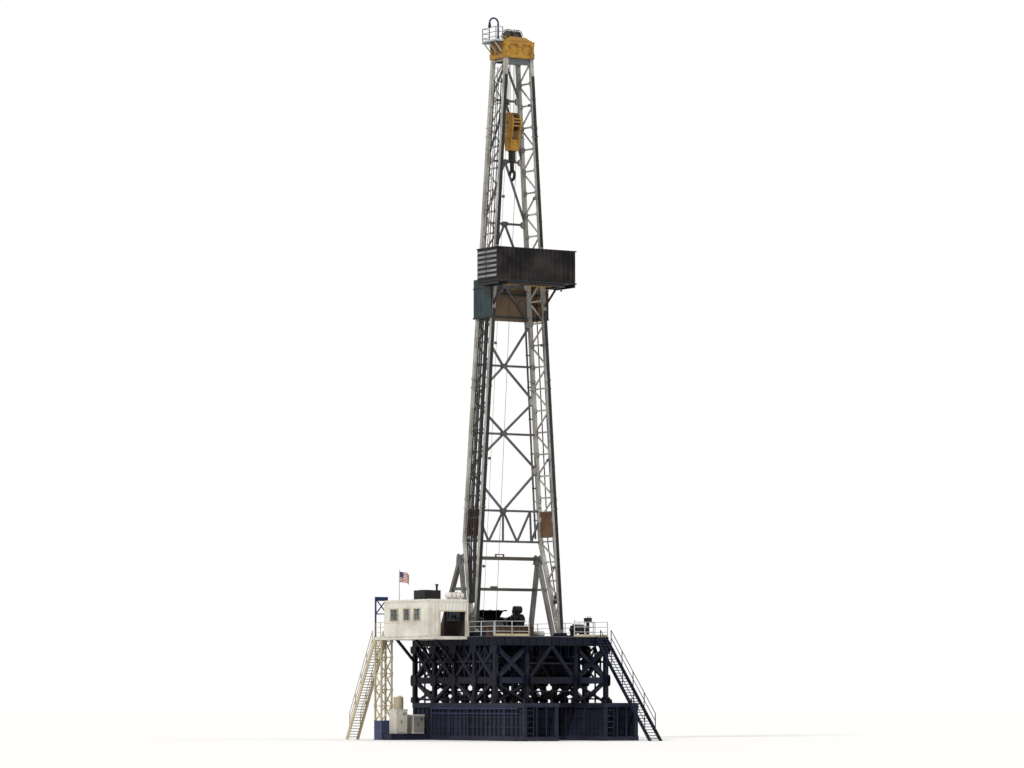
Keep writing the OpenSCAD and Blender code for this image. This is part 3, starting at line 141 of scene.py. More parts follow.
class Shape:
    """Collects boxes, bars, tubes and plates into one mesh."""

    def __init__(self):
        self.points = []
        self.faces = []

    def add(self, points, faces):
        start = len(self.points)
        self.points.extend(tuple(p) for p in points)
        self.faces.extend(tuple(start + i for i in face) for face in faces)

    def box(self, corner, other):
        """A block between two opposite corners."""
        (x0, x1), (y0, y1), (z0, z1) = (sorted(pair) for pair in zip(corner, other))
        self.add([(x0, y0, z0), (x1, y0, z0), (x1, y1, z0), (x0, y1, z0),
                  (x0, y0, z1), (x1, y0, z1), (x1, y1, z1), (x0, y1, z1)], BOX_FACES)

    def brick(self, centre, half_x, half_y, half_z):
        """A block about its centre."""
        self.box(off(centre, -half_x, -half_y, -half_z), off(centre, half_x, half_y, half_z))

    def ribs_x(self, xs, half, y0, y1, z0, z1):
        """Like blocks at some places on X."""
        for x in xs:
            self.box((x - half, y0, z0), (x + half, y1, z1))

    def ribs_y(self, ys, half, x0, x1, z0, z1):
        """Like blocks at some places on Y."""
        for y in ys:
            self.box((x0, y - half, z0), (x1, y + half, z1))

    def bar(self, start, end, width, depth=None, across=None):
        """A straight bar of rectangular section; across is the direction of its width."""
        depth = depth or width
        start, end = Vector(start), Vector(end)
        along = (end - start).normalized()
        side = Vector(across) if across else along.cross(Vector(Y))
        if side.length < 1e-4:
            side = Vector(X)
        side = (side - along * side.dot(along)).normalized() * width / 2
        up = along.cross(side).normalized() * depth / 2
        ring = [side + up, -side + up, -side - up, side - up]
        self.add([start + c for c in ring] + [end + c for c in ring],
                 [(0, 1, 2, 3), (7, 6, 5, 4), (0, 4, 5, 1), (1, 5, 6, 2), (2, 6, 7, 3),
                  (3, 7, 4, 0)])

    def rings(self, points, sides, caps):
        """Skin over rings of points, one after the other."""
        faces = []
        for i in range(len(points) // sides - 1):
            for k in range(sides):
                a, b = i * sides + k, i * sides + (k + 1) % sides
                faces.append((a, b, b + sides, a + sides))
        if caps:
            faces.append(tuple(reversed(range(sides))))
            faces.append(tuple(range(len(points) - sides, len(points))))
        self.add(points, faces)

    def tube(self, path, radius, sides=8):
        """A round bar swept along a path of points."""
        path = [Vector(p) for p in path]
        side = (path[1] - path[0]).normalized().cross(Vector(Z))
        if side.length < 0.05:
            side = Vector(X)
        points = []
        for i, p in enumerate(path):
            along = (path[min(i + 1, len(path) - 1)] - path[max(i - 1, 0)]).normalized()
            side = (side - along * side.dot(along)).normalized()
            up = along.cross(side)
            points += [p + side * u + up * v for u, v in round_about(sides, radius)]
        self.rings(points, sides, True)

    def lathe(self, centre, axis, profile, sides=24, caps=True):
        """A profile of (radius, height) points turned about an axis."""
        centre, axis = Vector(centre), Vector(axis).normalized()
        side = axis.orthogonal().normalized()
        other = axis.cross(side)
        points = [centre + axis * height + side * u + other * v for radius, height in profile
                  for u, v in round_about(sides, radius)]
        self.rings(points, sides, caps)

    def band(self, centre, axis, profile, sides):
        """A turned profile without end faces."""
        self.lathe(centre, axis, profile, sides, caps=False)

    def drum(self, centre, axis, radius, length, sides=24, bevel=0.0):
        """A short cylinder about an axis, with bevelled rims."""
        half = length / 2
        profile = hoop(radius - bevel, radius, half, half - bevel)
        self.lathe(centre, axis, profile if bevel else profile[1:3], sides)

    def plate(self, outline, normal, thickness):
        """A flat plate from an outline of points in order, thickened along its normal."""
        normal = Vector(normal).normalized() * thickness / 2
        outline = [Vector(p) for p in outline]
        n = len(outline)
        sides = [(i, (i + 1) % n, (i + 1) % n + n, i + n) for i in range(n)]
        self.add([p - normal for p in outline] + [p + normal for p in outline],
                 [tuple(reversed(range(n))), tuple(range(n, 2 * n))] + sides)

    def plates_x(self, xs, outline, thickness):
        """Like plates at some places on X, from an outline of (y, z)."""
        for x in xs:
            self.plate([(x, y, z) for y, z in outline], X, thickness)

    def plates_y(self, ys, outline, thickness):
        """Like plates at some places on Y, from an outline of (x, z)."""
        for y in ys:
            self.plate([(x, y, z) for x, z in outline], Y, thickness)

    def bolt(self, place, normal, radius=0.012, height=0.012):
        """A hexagon bolt head standing on a face."""
        normal = Vector(normal).normalized()
        self.lathe(Vector(place) + normal * height / 2, normal,
                   [(radius, -height / 2), (radius, height * 0.3), (radius * 0.8, height / 2)], 6)

    def bolts(self, xs, ys, z, radius, height):
        """Bolts that stand on a level face, at every crossing of some rows."""
        for x in xs:
            for y in ys:
                self.bolt((x, y, z), Z, radius, height)


def piece(shape, name, material, body=RIG, smooth=False, bevel=0.0):
    """Makes the collected shape an object of the rig that rides on a body."""
    mesh = bpy.data.meshes.new(name)
    mesh.from_pydata(shape.points, [], shape.faces)
    mesh.validate()
    mesh.update()
    thing = bpy.data.objects.new(name, mesh)
    bpy.context.scene.collection.objects.link(thing)
    mesh.materials.append(material)
    if smooth:
        mesh.shade_smooth()
        mesh.set_sharp_from_angle(angle=math.radians(40))
    if bevel:
        modifier = thing.modifiers.new("soft edges", "BEVEL")
        modifier.width = bevel
        modifier.segments = 1
        modifier.limit_method = "ANGLE"
    if body:
        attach(thing, body)
    return thing


class Nodes:
    """Places and links the nodes of one shader or one shader group."""

    def __init__(self, tree):
        self.tree = tree

    def fill(self, node, values):
        """Links or sets inputs of a node."""
        for socket, given in values.items():
            if isinstance(given, bpy.types.NodeSocket):
                self.tree.links.new(given, node.inputs[socket])
            else:
                node.inputs[socket].default_value = given
        return node

    def make(self, kind, values=(), **settings):
        node = self.tree.nodes.new("ShaderNode" + kind)
        for key, setting in settings.items():
            setattr(node, key, setting)
        return self.fill(node, dict(values))

    def math(self, operation, first, second=0.0, third=0.0, clamp=False):
        return self.make("Math", {0: first, 1: second, 2: third}, operation=operation,
                         use_clamp=clamp).outputs[0]

    def colour(self, factor, first, second, blend="MIX"):
        return self.make("Mix", {0: factor, 6: first, 7: second}, data_type="RGBA",
                         blend_type=blend).outputs[2]

    def ramp(self, factor, low, high):
        """0 below low, 1 above high, smooth between."""
        return self.make("MapRange", {"Value": factor, "From Min": low, "From Max": high},
                         interpolation_type="SMOOTHSTEP").outputs[0]

    def noise(self, vector, scale, detail=4.0, rough=0.55):
        return self.make("TexNoise", {"Vector": vector, "Scale": scale, "Detail": detail,
                                      "Roughness": rough}).outputs["Fac"]

    def place(self):
        return self.make("TexCoord").outputs["Object"]

    def stretched(self, vector, scale):
        return self.make("Mapping", {"Vector": vector, "Scale": scale}).outputs[0]

    def wave(self, vector, direction, scale, distortion=0.0):
        """Soft parallel bands."""
        return self.make("TexWave", {"Vector": vector, "Scale": scale, "Distortion": distortion},
                         wave_type="BANDS", bands_direction=direction).outputs["Fac"]


def group(name, inputs, outputs):
    """A new shader group with named sockets; returns its tree, its maker and its inputs."""
    tree = bpy.data.node_groups.new(name, "ShaderNodeTree")
    kinds = {"colour": "NodeSocketColor", "value": "NodeSocketFloat",
             "vector": "NodeSocketVector"}
    for label, kind, given in inputs:
        socket = tree.interface.new_socket(name=label, in_out="INPUT", socket_type=kinds[kind])
        socket.default_value = given
    for label, kind in outputs:
        tree.interface.new_socket(name=label, in_out="OUTPUT", socket_type=kinds[kind])
    entry = tree.nodes.new("NodeGroupInput")
    ending = tree.nodes.new("NodeGroupOutput")
    return tree, Nodes(tree), entry.outputs, ending.inputs


def weathering_group():
    """Paint that fades in patches, chips to rust, runs in streaks and gathers dust."""
    tree, make, given, out = group(
        "weathered paint",
        [("Paint", "colour", (0.5, 0.5, 0.5, 1)), ("Faded", "colour", (0.6, 0.6, 0.6, 1)),
         ("Rust", "colour", (0.17, 0.07, 0.03, 1)), ("Dust", "colour", (0.45, 0.37, 0.28, 1)),
         ("Chips", "value", 0.3), ("Streaks", "value", 0.3), ("Dusting", "value", 0.3)],
        [("Colour", "colour"), ("Roughness", "value"), ("Height", "value")])
    place = make.place()
    normal_z = make.make("SeparateXYZ",
                         {0: make.make("NewGeometry").outputs["Normal"]}).outputs["Z"]
    height = make.make("SeparateXYZ", {0: place}).outputs["Z"]

    patches = make.ramp(make.noise(place, 1.1, 5.0), 0.35, 0.68)
    fine = make.noise(place, 14.0, 3.0)
    paint = make.colour(patches, given["Paint"], given["Faded"])
    mottle = make.math("MULTIPLY_ADD", fine, 0.3, 0.85)
    paint = make.colour(1.0, paint, make.make(
        "CombineColor", {0: mottle, 1: mottle, 2: mottle}).outputs[0], "MULTIPLY")

    spots = make.noise(place, 8.5, 7.0, 0.72)
    edge = make.math("SUBTRACT", 0.86, make.math("MULTIPLY", given["Chips"], 0.41))
    chips = make.ramp(spots, edge, make.math("ADD", edge, 0.11))
    runs = make.noise(make.stretched(place, (7.0, 7.0, 0.55)), 1.3, 5.0, 0.6)
    runs_edge = make.math("SUBTRACT", 0.9, make.math("MULTIPLY", given["Streaks"], 0.5))
    runs = make.ramp(runs, runs_edge, make.math("ADD", runs_edge, 0.22))
    rust = make.math("MAXIMUM", chips, make.math("MULTIPLY", runs, 0.75))
    bright_rust = make.colour(0.75, given["Rust"], given["Rust"], "ADD")
    colour = make.colour(rust, paint, make.colour(fine, given["Rust"], bright_rust))

    upward = make.math("MULTIPLY", make.ramp(normal_z, 0.35, 0.95), 0.9)
    film = make.math("MULTIPLY", make.ramp(make.noise(place, 2.3, 4.0), 0.3, 0.75), 0.5)
    low = make.math("MULTIPLY", make.ramp(height, 3.2, 0.0), 0.6)
    dust = make.math("ADD", upward, make.math("ADD", film, low))
    dust = make.math("MULTIPLY", dust, given["Dusting"], clamp=True)
    tree.links.new(make.colour(dust, colour, given["Dust"]), out["Colour"])

    rough = make.math("ADD", make.math("MULTIPLY_ADD", rust, 0.35, 0.44),
                      make.math("MULTIPLY", dust, 0.25), clamp=True)
    tree.links.new(rough, out["Roughness"])
    relief = make.math("SUBTRACT", make.math("MULTIPLY", fine, 0.25), chips)
    tree.links.new(relief, out["Height"])
    return tree


WEATHERED = weathering_group()


def base_material(name):
    """A new material with its Principled shader and a maker for its nodes."""
    material = bpy.data.materials.new(name)
    material.use_nodes = True
    shader = material.node_tree.nodes["Principled BSDF"]
    return material, Nodes(material.node_tree), shader


def bump(make, shader, height, strength, distance=0.01):
    node = make.make("Bump", {"Height": height, "Strength": strength, "Distance": distance})
    make.tree.links.new(node.outputs[0], shader.inputs["Normal"])


def enamel(name, paint, faded, chips=0.3, streaks=0.3, dusting=0.25, specular=0.4,
           rust=(0.17, 0.07, 0.03)):
    """Painted steel with the shared weathering."""
    material, make, shader = base_material(name)
    wear = make.make("Group", node_tree=WEATHERED)
    make.fill(wear, {"Paint": (*paint, 1), "Faded": (*faded, 1), "Rust": (*rust, 1),
                     "Chips": chips, "Streaks": streaks, "Dusting": dusting})
    make.fill(shader, {"Base Color": wear.outputs["Colour"], "Specular IOR Level": specular,
                       "Roughness": wear.outputs["Roughness"]})
    bump(make, shader, wear.outputs["Height"], 0.35, 0.004)
    return material


NAVY = enamel("navy enamel", (0.0037, 0.0064, 0.0205), (0.0086, 0.0138, 0.035), 0.54, 0.58,
              0.03, specular=0.13, rust=(0.036, 0.019, 0.013))
# A darker copy of the navy paint, as painted shade: the columns, bracing, floor frame and fittings
# of the upper substructure wear it.
SHADED_NAVY = enamel("navy enamel with painted shade", (0.003, 0.0042, 0.011), (0.0066, 0.0088, 0.019), 0.52,
                   0.54, 0.022, specular=0.1, rust=(0.026, 0.015, 0.011))
MAST_WHITE = enamel("weathered mast enamel", (0.375, 0.363, 0.338), (0.2, 0.19, 0.172), 0.74,
                    0.78, 0.06, rust=(0.078, 0.04, 0.024))
# A darker, cooler copy of the mast white, as painted shade: the rear bracing, ladder, standpipe
# and small fittings of the mast wear it.
SHADED_MAST = enamel("mast enamel with painted shade", (0.095, 0.101, 0.11), (0.052, 0.053, 0.056), 0.62, 0.6,
                   0.04, specular=0.3, rust=(0.09, 0.042, 0.024))
FRAME_GREY = enamel("A-frame enamel", (0.155, 0.15, 0.142), (0.088, 0.083, 0.076), 0.66, 0.66,
                    0.05, specular=0.3, rust=(0.085, 0.04, 0.024))
BEAM_BROWN = enamel("dark beam enamel", (0.105, 0.094, 0.084), (0.06, 0.05, 0.042), 0.62, 0.6,
                    0.04, specular=0.25, rust=(0.09, 0.042, 0.024))
OCHRE = enamel("ochre enamel", (0.4, 0.205, 0.016), (0.24, 0.12, 0.02), 0.6, 0.56, 0.03,
               specular=0.3, rust=(0.08, 0.034, 0.016))
BLACK = enamel("black enamel", (0.0055, 0.0055, 0.0065), (0.013, 0.0125, 0.013), 0.28, 0.2, 0.03,
               specular=0.22)
DOG_WHITE = enamel("doghouse enamel", (0.68, 0.66, 0.59), (0.5, 0.47, 0.4), 0.34, 0.46, 0.1)
CREAM = enamel("cream enamel", (0.5, 0.43, 0.28), (0.38, 0.31, 0.2), 0.5, 0.4, 0.18)
CABINET = enamel("cabinet enamel", (0.66, 0.64, 0.58), (0.5, 0.47, 0.41), 0.38, 0.46, 0.18)
METER_GREY = enamel("meter box enamel", (0.23, 0.23, 0.22), (0.15, 0.148, 0.14), 0.4, 0.46, 0.12)
TANK_TAN = enamel("tan tank enamel", (0.4, 0.34, 0.24), (0.28, 0.24, 0.18), 0.4, 0.45, 0.18)
RAIL_GREY = enamel("rail enamel", (0.5, 0.51, 0.52), (0.34, 0.35, 0.36), 0.38, 0.28, 0.1)
SKID_BROWN = enamel("brown skid enamel", (0.085, 0.043, 0.02), (0.14, 0.076, 0.04), 0.5, 0.35,
                    0.1, specular=0.25)
TAN_SHEET = enamel("tan sheet", (0.125, 0.085, 0.052), (0.19, 0.13, 0.08), 0.5, 0.62, 0.06,
                   specular=0.25, rust=(0.075, 0.036, 0.02))
TEAL_SHEET = enamel("dark teal sheet", (0.01, 0.026, 0.03), (0.026, 0.046, 0.05), 0.45, 0.55,
                    0.04, specular=0.2)
BLACK_SHEET = enamel("black sheet", (0.0042, 0.0037, 0.0044), (0.029, 0.0245, 0.0235), 0.46, 0.66,
                     0.012, specular=0.1, rust=(0.03, 0.016, 0.01))
RUST_PLATE = enamel("rusted plate", (0.08, 0.038, 0.02), (0.145, 0.074, 0.04), 0.75, 0.66, 0.05,
                    specular=0.2)
PORTAL_BLUE = enamel("blue enamel", (0.008, 0.022, 0.08), (0.018, 0.036, 0.1), 0.35, 0.25, 0.06,
                     specular=0.22)
FINGER_YELLOW = enamel("finger enamel", (0.36, 0.21, 0.03), (0.2, 0.12, 0.035), 0.62, 0.4, 0.05)
LOUVRE_GREY = enamel("louvre enamel", (0.22, 0.225, 0.225), (0.13, 0.13, 0.13), 0.5, 0.6, 0.04)
# Near-black lining, as painted shade for the inside of the doghouse.
SHADE_LINING = enamel("dark lining as painted shade", (0.03, 0.027, 0.022), (0.05, 0.044, 0.035), 0.2, 0.2, 0.03,
                specular=0.15)


def deck_plate():
    """Worn steel floor plate with raised lozenges."""
    material, make, shader = base_material("deck plate")
    place = make.place()
    turned = make.make("Mapping", {"Vector": place,
                                   "Rotation": (0, 0, math.radians(45))}).outputs[0]
    weave = make.math("MULTIPLY", make.wave(turned, "X", 9.0), make.wave(turned, "Y", 9.0))
    lozenge = make.ramp(weave, 0.55, 0.75)
    grime = make.ramp(make.noise(place, 2.2, 6.0), 0.35, 0.7)
    steel = make.colour(grime, (0.055, 0.058, 0.065, 1), (0.13, 0.12, 0.11, 1))
    colour = make.colour(make.math("MULTIPLY", lozenge, 0.5), steel, (0.3, 0.29, 0.27, 1))
    make.fill(shader, {"Base Color": colour, "Metallic": 0.55,
                       "Roughness": make.math("MULTIPLY_ADD", grime, 0.3, 0.42)})
    bump(make, shader, lozenge, 0.6, 0.004)
    return material


def wire_rope():
    """Greased wire rope with the slant of its strands."""
    material, make, shader = base_material("wire rope")
    place = make.place()
    lay = make.wave(make.stretched(place, (12.0, 12.0, 14.0)), "DIAGONAL", 1.6, 1.5)
    grease = make.noise(place, 3.0, 3.0)
    colour = make.colour(lay, (0.045, 0.042, 0.038, 1), (0.17, 0.163, 0.155, 1))
    colour = make.colour(make.math("MULTIPLY", grease, 0.5), colour, (0.02, 0.018, 0.016, 1))
    make.fill(shader, {"Base Color": colour, "Metallic": 0.7,
                       "Roughness": make.math("MULTIPLY_ADD", grease, 0.3, 0.3)})
    bump(make, shader, lay, 0.5, 0.003)
    return material


def cast_steel():
    """Dark cast steel with machined, greased grooves."""
    material, make, shader = base_material("cast steel")
    place = make.place()
    grain = make.noise(place, 30.0, 4.0)
    blotch = make.ramp(make.noise(place, 2.5, 5.0), 0.4, 0.7)
    colour = make.colour(blotch, (0.035, 0.032, 0.03, 1), (0.095, 0.07, 0.05, 1))
    make.fill(shader, {"Base Color": colour, "Metallic": 0.6,
                       "Roughness": make.math("MULTIPLY_ADD", blotch, 0.3, 0.35)})
    bump(make, shader, grain, 0.3, 0.003)
    return material


def window_glass():
    """Dusty window glass over a dark room."""
    material, make, shader = base_material("dusty glass")
    film = make.ramp(make.noise(make.place(), 4.0, 4.0), 0.4, 0.8)
    colour = make.colour(film, (0.1, 0.14, 0.17, 1), (0.3, 0.32, 0.31, 1))
    make.fill(shader, {"Base Color": colour, "Transmission Weight": 0.55, "IOR": 1.5,
                       "Roughness": make.math("MULTIPLY_ADD", film, 0.35, 0.06)})
    return material


DECK = deck_plate()
ROPE = wire_rope()
CAST = cast_steel()
GLASS = window_glass()

SLOT_MATERIALS = {
    "navy_steel": NAVY, "deck_steel": DECK, "skid_brown": SKID_BROWN, "black_steel": BLACK,
    "rail_grey": RAIL_GREY, "cream_paint": CREAM, "cabinet_white": CABINET,
    "doghouse_white": DOG_WHITE, "window_glass": GLASS, "portal_blue": PORTAL_BLUE,
    "flag_cloth": SHADE_LINING, "mast_white": MAST_WHITE, "finger_yellow": FINGER_YELLOW,
    "wind_wall_brown": TAN_SHEET, "wire_rope": ROPE, "crown_yellow": OCHRE,
    "sheave_iron": CAST,
}
OWN_SLOTS = {material.name: slot for slot, material in SLOT_MATERIALS.items()}
# The two darker copies, whose darkness is painted shade, count as the paints they copy.
OWN_SLOTS.update({SHADED_NAVY.name: "navy_steel", SHADED_MAST.name: "mast_white"})
NODE_MATERIALS = {
    # Rear bracing of the mast: the mast white with painted shade.
    "mast_rear_lower": SHADED_MAST, "mast_rear_upper": SHADED_MAST, "a_frame_beams": BEAM_BROWN,
    "a_frame_legs": FRAME_GREY,
    # Upper boxes, floor frame and spreaders: navy with painted shade.
    "upper_box_left": SHADED_NAVY, "upper_box_right": SHADED_NAVY, "floor_frame": SHADED_NAVY,
    "spreaders_front": SHADED_NAVY, "spreaders_rear": SHADED_NAVY,
    "racking_wind_walls": BLACK_SHEET, "mast_wind_walls": TEAL_SHEET,
}


def finish_cad_nodes():
    """Gives every CAD node the finish of its slot, or its own."""
    for entry in frame["record"]["subparts"]:
        node = frame["nodes"][entry["node"]]
        material = NODE_MATERIALS.get(entry["node"], SLOT_MATERIALS[entry["material_slot"]])
        node.data.materials.clear()
        node.data.materials.append(material)


STRUT_TOP_Z = PORCH_HIGH.z - 0.2


def paint_struts():
    """The struts under the doghouse platform get the navy with painted shade, as the upper
    substructure does.
    """
    node = frame["nodes"]["doghouse_platform"]
    node.data.materials.append(SHADED_NAVY)
    for face in node.data.polygons:
        if (node.matrix_world @ face.center).z < STRUT_TOP_Z:
            face.material_index = 1


finish_cad_nodes()
paint_struts()

# Places of the substructure
COLUMN = 0.15
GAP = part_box("spreaders_front")[1].x
OUT = FLOOR_HIGH.x
FRONT, REAR = FLOOR_LOW.y, FLOOR_HIGH.y
BASE_H = BASE_LEFT_HIGH.z
BASE_FRONT = BASE_LEFT_LOW.y
SKID_H = 0.18
MID_Z = 2.2
UNDER = FLOOR_Z - 0.34
COLUMN_PITCH = (REAR - FRONT - COLUMN) / 4
COLUMN_YS = [FRONT + COLUMN / 2 + i * COLUMN_PITCH for i in range(5)]
WALL_XS = (GAP + COLUMN / 2, OUT - COLUMN / 2)


def both(*values):
    """Each value on the left and on the right of the rig."""
    return [side * value for side in (-1, 1) for value in values]


def gusset(shape, centre, axis, half_w, half_h, low=-1e9, high=1e9, thick=0.012):
    """A bolted plate with cut corners, flat to an axis (0 is X, 1 is Y)."""
    normal = Vector(Y if axis else X)

    def place(u, v):
        p = off(centre, z=v * half_h)
        p[1 - axis] += u * half_w
        return p

    outline = [place(u, v) for u, v in ((-1, -0.66), (-1, 0.66), (-0.72, 1), (0.72, 1),
                                        (1, 0.66), (1, -0.66), (0.72, -1), (-0.72, -1))]
    for p in outline:
        p.z = min(max(p.z, low), high)
    shape.plate(outline, normal, thick)
    for u, v in ((-0.8, 0.45), (-0.8, -0.45), (0.8, 0.45), (0.8, -0.45), (-0.4, 0.8),
                 (0.4, 0.8), (-0.4, -0.8), (0.4, -0.8)):
        p = place(u, v)
        if low < p.z < high:
            for way in (-1, 1):
                shape.bolt(p + normal * way * thick / 2, normal * way)


def substructure_plates():
    """Bolted gussets on the columns and stiffened plates on the base boxes."""
    plates = Shape()
    for x in both(*WALL_XS):
        for y in COLUMN_YS:
            for face in (x - 0.081, x + 0.081):
                gusset(plates, (face, y, MID_Z), 0, 0.19, 0.21)
                gusset(plates, (face, y, BASE_H + 0.04), 0, 0.17, 0.17, low=BASE_H + 0.001)
                gusset(plates, (face, y, UNDER - 0.05), 0, 0.2, 0.22, high=UNDER - 0.001)
    piece(plates, "substructure_gussets", SHADED_NAVY)

    ribs = Shape()
    for x in both(*WALL_XS):
        for way in (-1, 1):
            inner = x + way * 0.007
            ribs.ribs_y(spread(26, BASE_FRONT + 0.2, REAR - 0.2), 0.006, inner, x + way * 0.06,
                        SKID_H, BASE_H - SKID_H)
            for z in (0.5, 0.86):
                ribs.box((inner, BASE_FRONT + 0.03, z - 0.03),
                         (x + way * 0.04, REAR - 0.03, z + 0.03))
        for z in (0.001, SKID_H - 0.017, BASE_H - SKID_H + 0.001, BASE_H - 0.017):
            ribs.box((x - 0.083, BASE_FRONT, z), (x + 0.083, REAR, z + 0.015))
    piece(ribs, "base_box_ribs", NAVY, bevel=0.002)


def substructure_pins():
    """Ears and pins that join each column to its base box, and the lifting eyes."""
    ears = Shape()
    for x in both(*WALL_XS):
        for y in COLUMN_YS:
            ears.plates_x((x - 0.098, x + 0.098),
                          twin(y, (0.1, BASE_H + 0.001), (0.1, BASE_H + 0.16),
                               (0.05, BASE_H + 0.22)), 0.016)
            ears.drum((x, y, BASE_H + 0.13), X, 0.032, 0.25, 12, 0.005)
    for y in (BASE_FRONT + 0.25, BASE_FRONT + 1.55):
        ears.plates_x(both(OUT - 0.16, GAP + 0.16),
                      twin(y, (0.07, BASE_H), (0.035, BASE_H + 0.14)), 0.024)
    piece(ears, "column_pins", SHADED_NAVY, smooth=True)


def substructure_bracing():
    """Finer bracing between the columns."""
    bays = list(zip(COLUMN_YS, COLUMN_YS[1:]))
    bars = Shape()
    for side in (-1, 1):
        near, far = side * WALL_XS[0], side * WALL_XS[1]
        for y0, y1 in bays:
            bars.bar((near, y0 + 0.06, MID_Z + 0.02), (far, y1 - 0.06, MID_Z + 0.02), 0.05)
            bars.bar((near, y1 - 0.06, MID_Z - 0.03), (far, y0 + 0.06, MID_Z - 0.03), 0.05)
            for x in (near, far):
                y = (y0 + y1) / 2
                bars.bar((x, y, MID_Z), (x, y, UNDER), 0.06)
                bars.bar((x, y, BASE_H), (x, y, MID_Z), 0.05)
        for y in COLUMN_YS[1:4]:
            for x in (near, far):
                bars.bar((x, y, MID_Z), ((near + far) / 2, y, UNDER - 0.02), 0.055)
            bars.bar((near, y, BASE_H + 0.05), (far, y, MID_Z - 0.05), 0.05)
    for y in COLUMN_YS[:2] + COLUMN_YS[3:]:
        for z in (BASE_H + 0.42, MID_Z + 0.62):
            bars.bar((-GAP, y, z), (GAP, y, z), 0.06)
    piece(bars, "substructure_bracing", SHADED_NAVY, bevel=0.003)

    frames = Shape()
    upper, lower = (MID_Z + 0.13, UNDER - 0.03), (BASE_H + 0.04, MID_Z - 0.13)
    centre = sum(upper) / 2
    crossed = [(y, 0.085, span) for y in COLUMN_YS for span in (upper, lower)]
    crossed += [((y0 + y1) / 2, 0.06, upper) for y0, y1 in bays]
    for side in (-1, 1):
        near, far = side * (WALL_XS[0] + 0.06), side * (WALL_XS[1] - 0.06)
        for y, size, (z0, z1) in crossed:
            frames.bar((near, y - 0.03, z0), (far, y - 0.03, z1), size)
            frames.bar((near, y + 0.03, z1), (far, y + 0.03, z0), size)
    for x in both(*WALL_XS):
        for y0, y1 in bays:
            frames.bar((x, y0, centre), (x, y1, centre), 0.07)
            for y in (mix(y0, y1, 0.25), mix(y0, y1, 0.75)):
                frames.bar((x, y, upper[0]), (x, y, upper[1]), 0.055)
                frames.bar((x, y, centre), (x, (y0 + y1) / 2, upper[1]), 0.055)
    beams, y0, y1 = both(0.46, 0.8), FRONT + 0.1, REAR - 0.1
    frames.ribs_x(beams, 0.012, y0, y1, UNDER - 0.42, UNDER - 0.004)
    for z in (UNDER - 0.42, UNDER - 0.022):
        frames.ribs_x(beams, 0.075, y0, y1, z, z + 0.018)
    for x in beams:
        frames.ribs_y(spread(12, FRONT + 0.25, REAR - 0.25), 0.006, x - 0.07, x + 0.07,
                      UNDER - 0.4, UNDER - 0.022)
    ys = (FRONT + 0.55, -0.62, 0.62, REAR - 0.55)
    for x0, x1 in ((-GAP, -0.46), (-0.46, 0.46), (0.46, GAP)):
        frames.ribs_y(ys, 0.01, x0, x1, UNDER - 0.38, UNDER - 0.03)
        for z in (UNDER - 0.39, UNDER - 0.045):
            frames.ribs_y(ys, 0.05, x0, x1, z, z + 0.016)
    piece(frames, "cross_frames_and_rotary_beams", SHADED_NAVY, bevel=0.003)


def substructure_pipes():
    """Pipes between the boxes and along the left base box."""
    pipes = Shape()
    for x, z, radius in ((-OUT + 0.3, 1.5, 0.035), (-OUT + 0.42, 1.47, 0.022),
                         (OUT - 0.3, 1.52, 0.03), (-GAP - 0.3, 3.2, 0.03),
                         (GAP + 0.35, 3.24, 0.04)):
        pipes.tube([(x, FRONT + 0.2, z), (x, REAR - 0.2, z)], radius, 10)
        for y in COLUMN_YS[1:4]:
            pipes.drum((x, y + 0.11, z), Y, radius * 1.5, 0.05, 12, 0.005)
    for y, z, radius in ((-2.3, 3.05, 0.03), (2.55, 2.85, 0.045), (2.4, 2.4, 0.025)):
        pipes.tube([(-OUT + 0.2, y, z), (OUT - 0.2, y, z)], radius, 10)
    for x, y in ((-1.32, 2.4), (1.35, -2.3), (1.5, 2.55)):
        pipes.tube([(x, y, BASE_H + 0.03), (x, y, UNDER)], 0.035, 10)
    piece(pipes, "substructure_pipes", BLACK, smooth=True)
    lines = Shape()
    for z, radius in ((1.17, 0.022), (0.99, 0.016)):
        x = -OUT - 0.012 - radius
        lines.tube([(x, BASE_FRONT + 0.35, z), (x, 1.62, z)], radius, 10)
        lines.ribs_y(spread(9, BASE_FRONT + 0.5, 1.5), 0.012, x - radius - 0.006, -OUT + 0.004,
                     z - radius - 0.01, z + radius + 0.01)
    piece(lines, "base_side_pipes", PORTAL_BLUE, smooth=True)


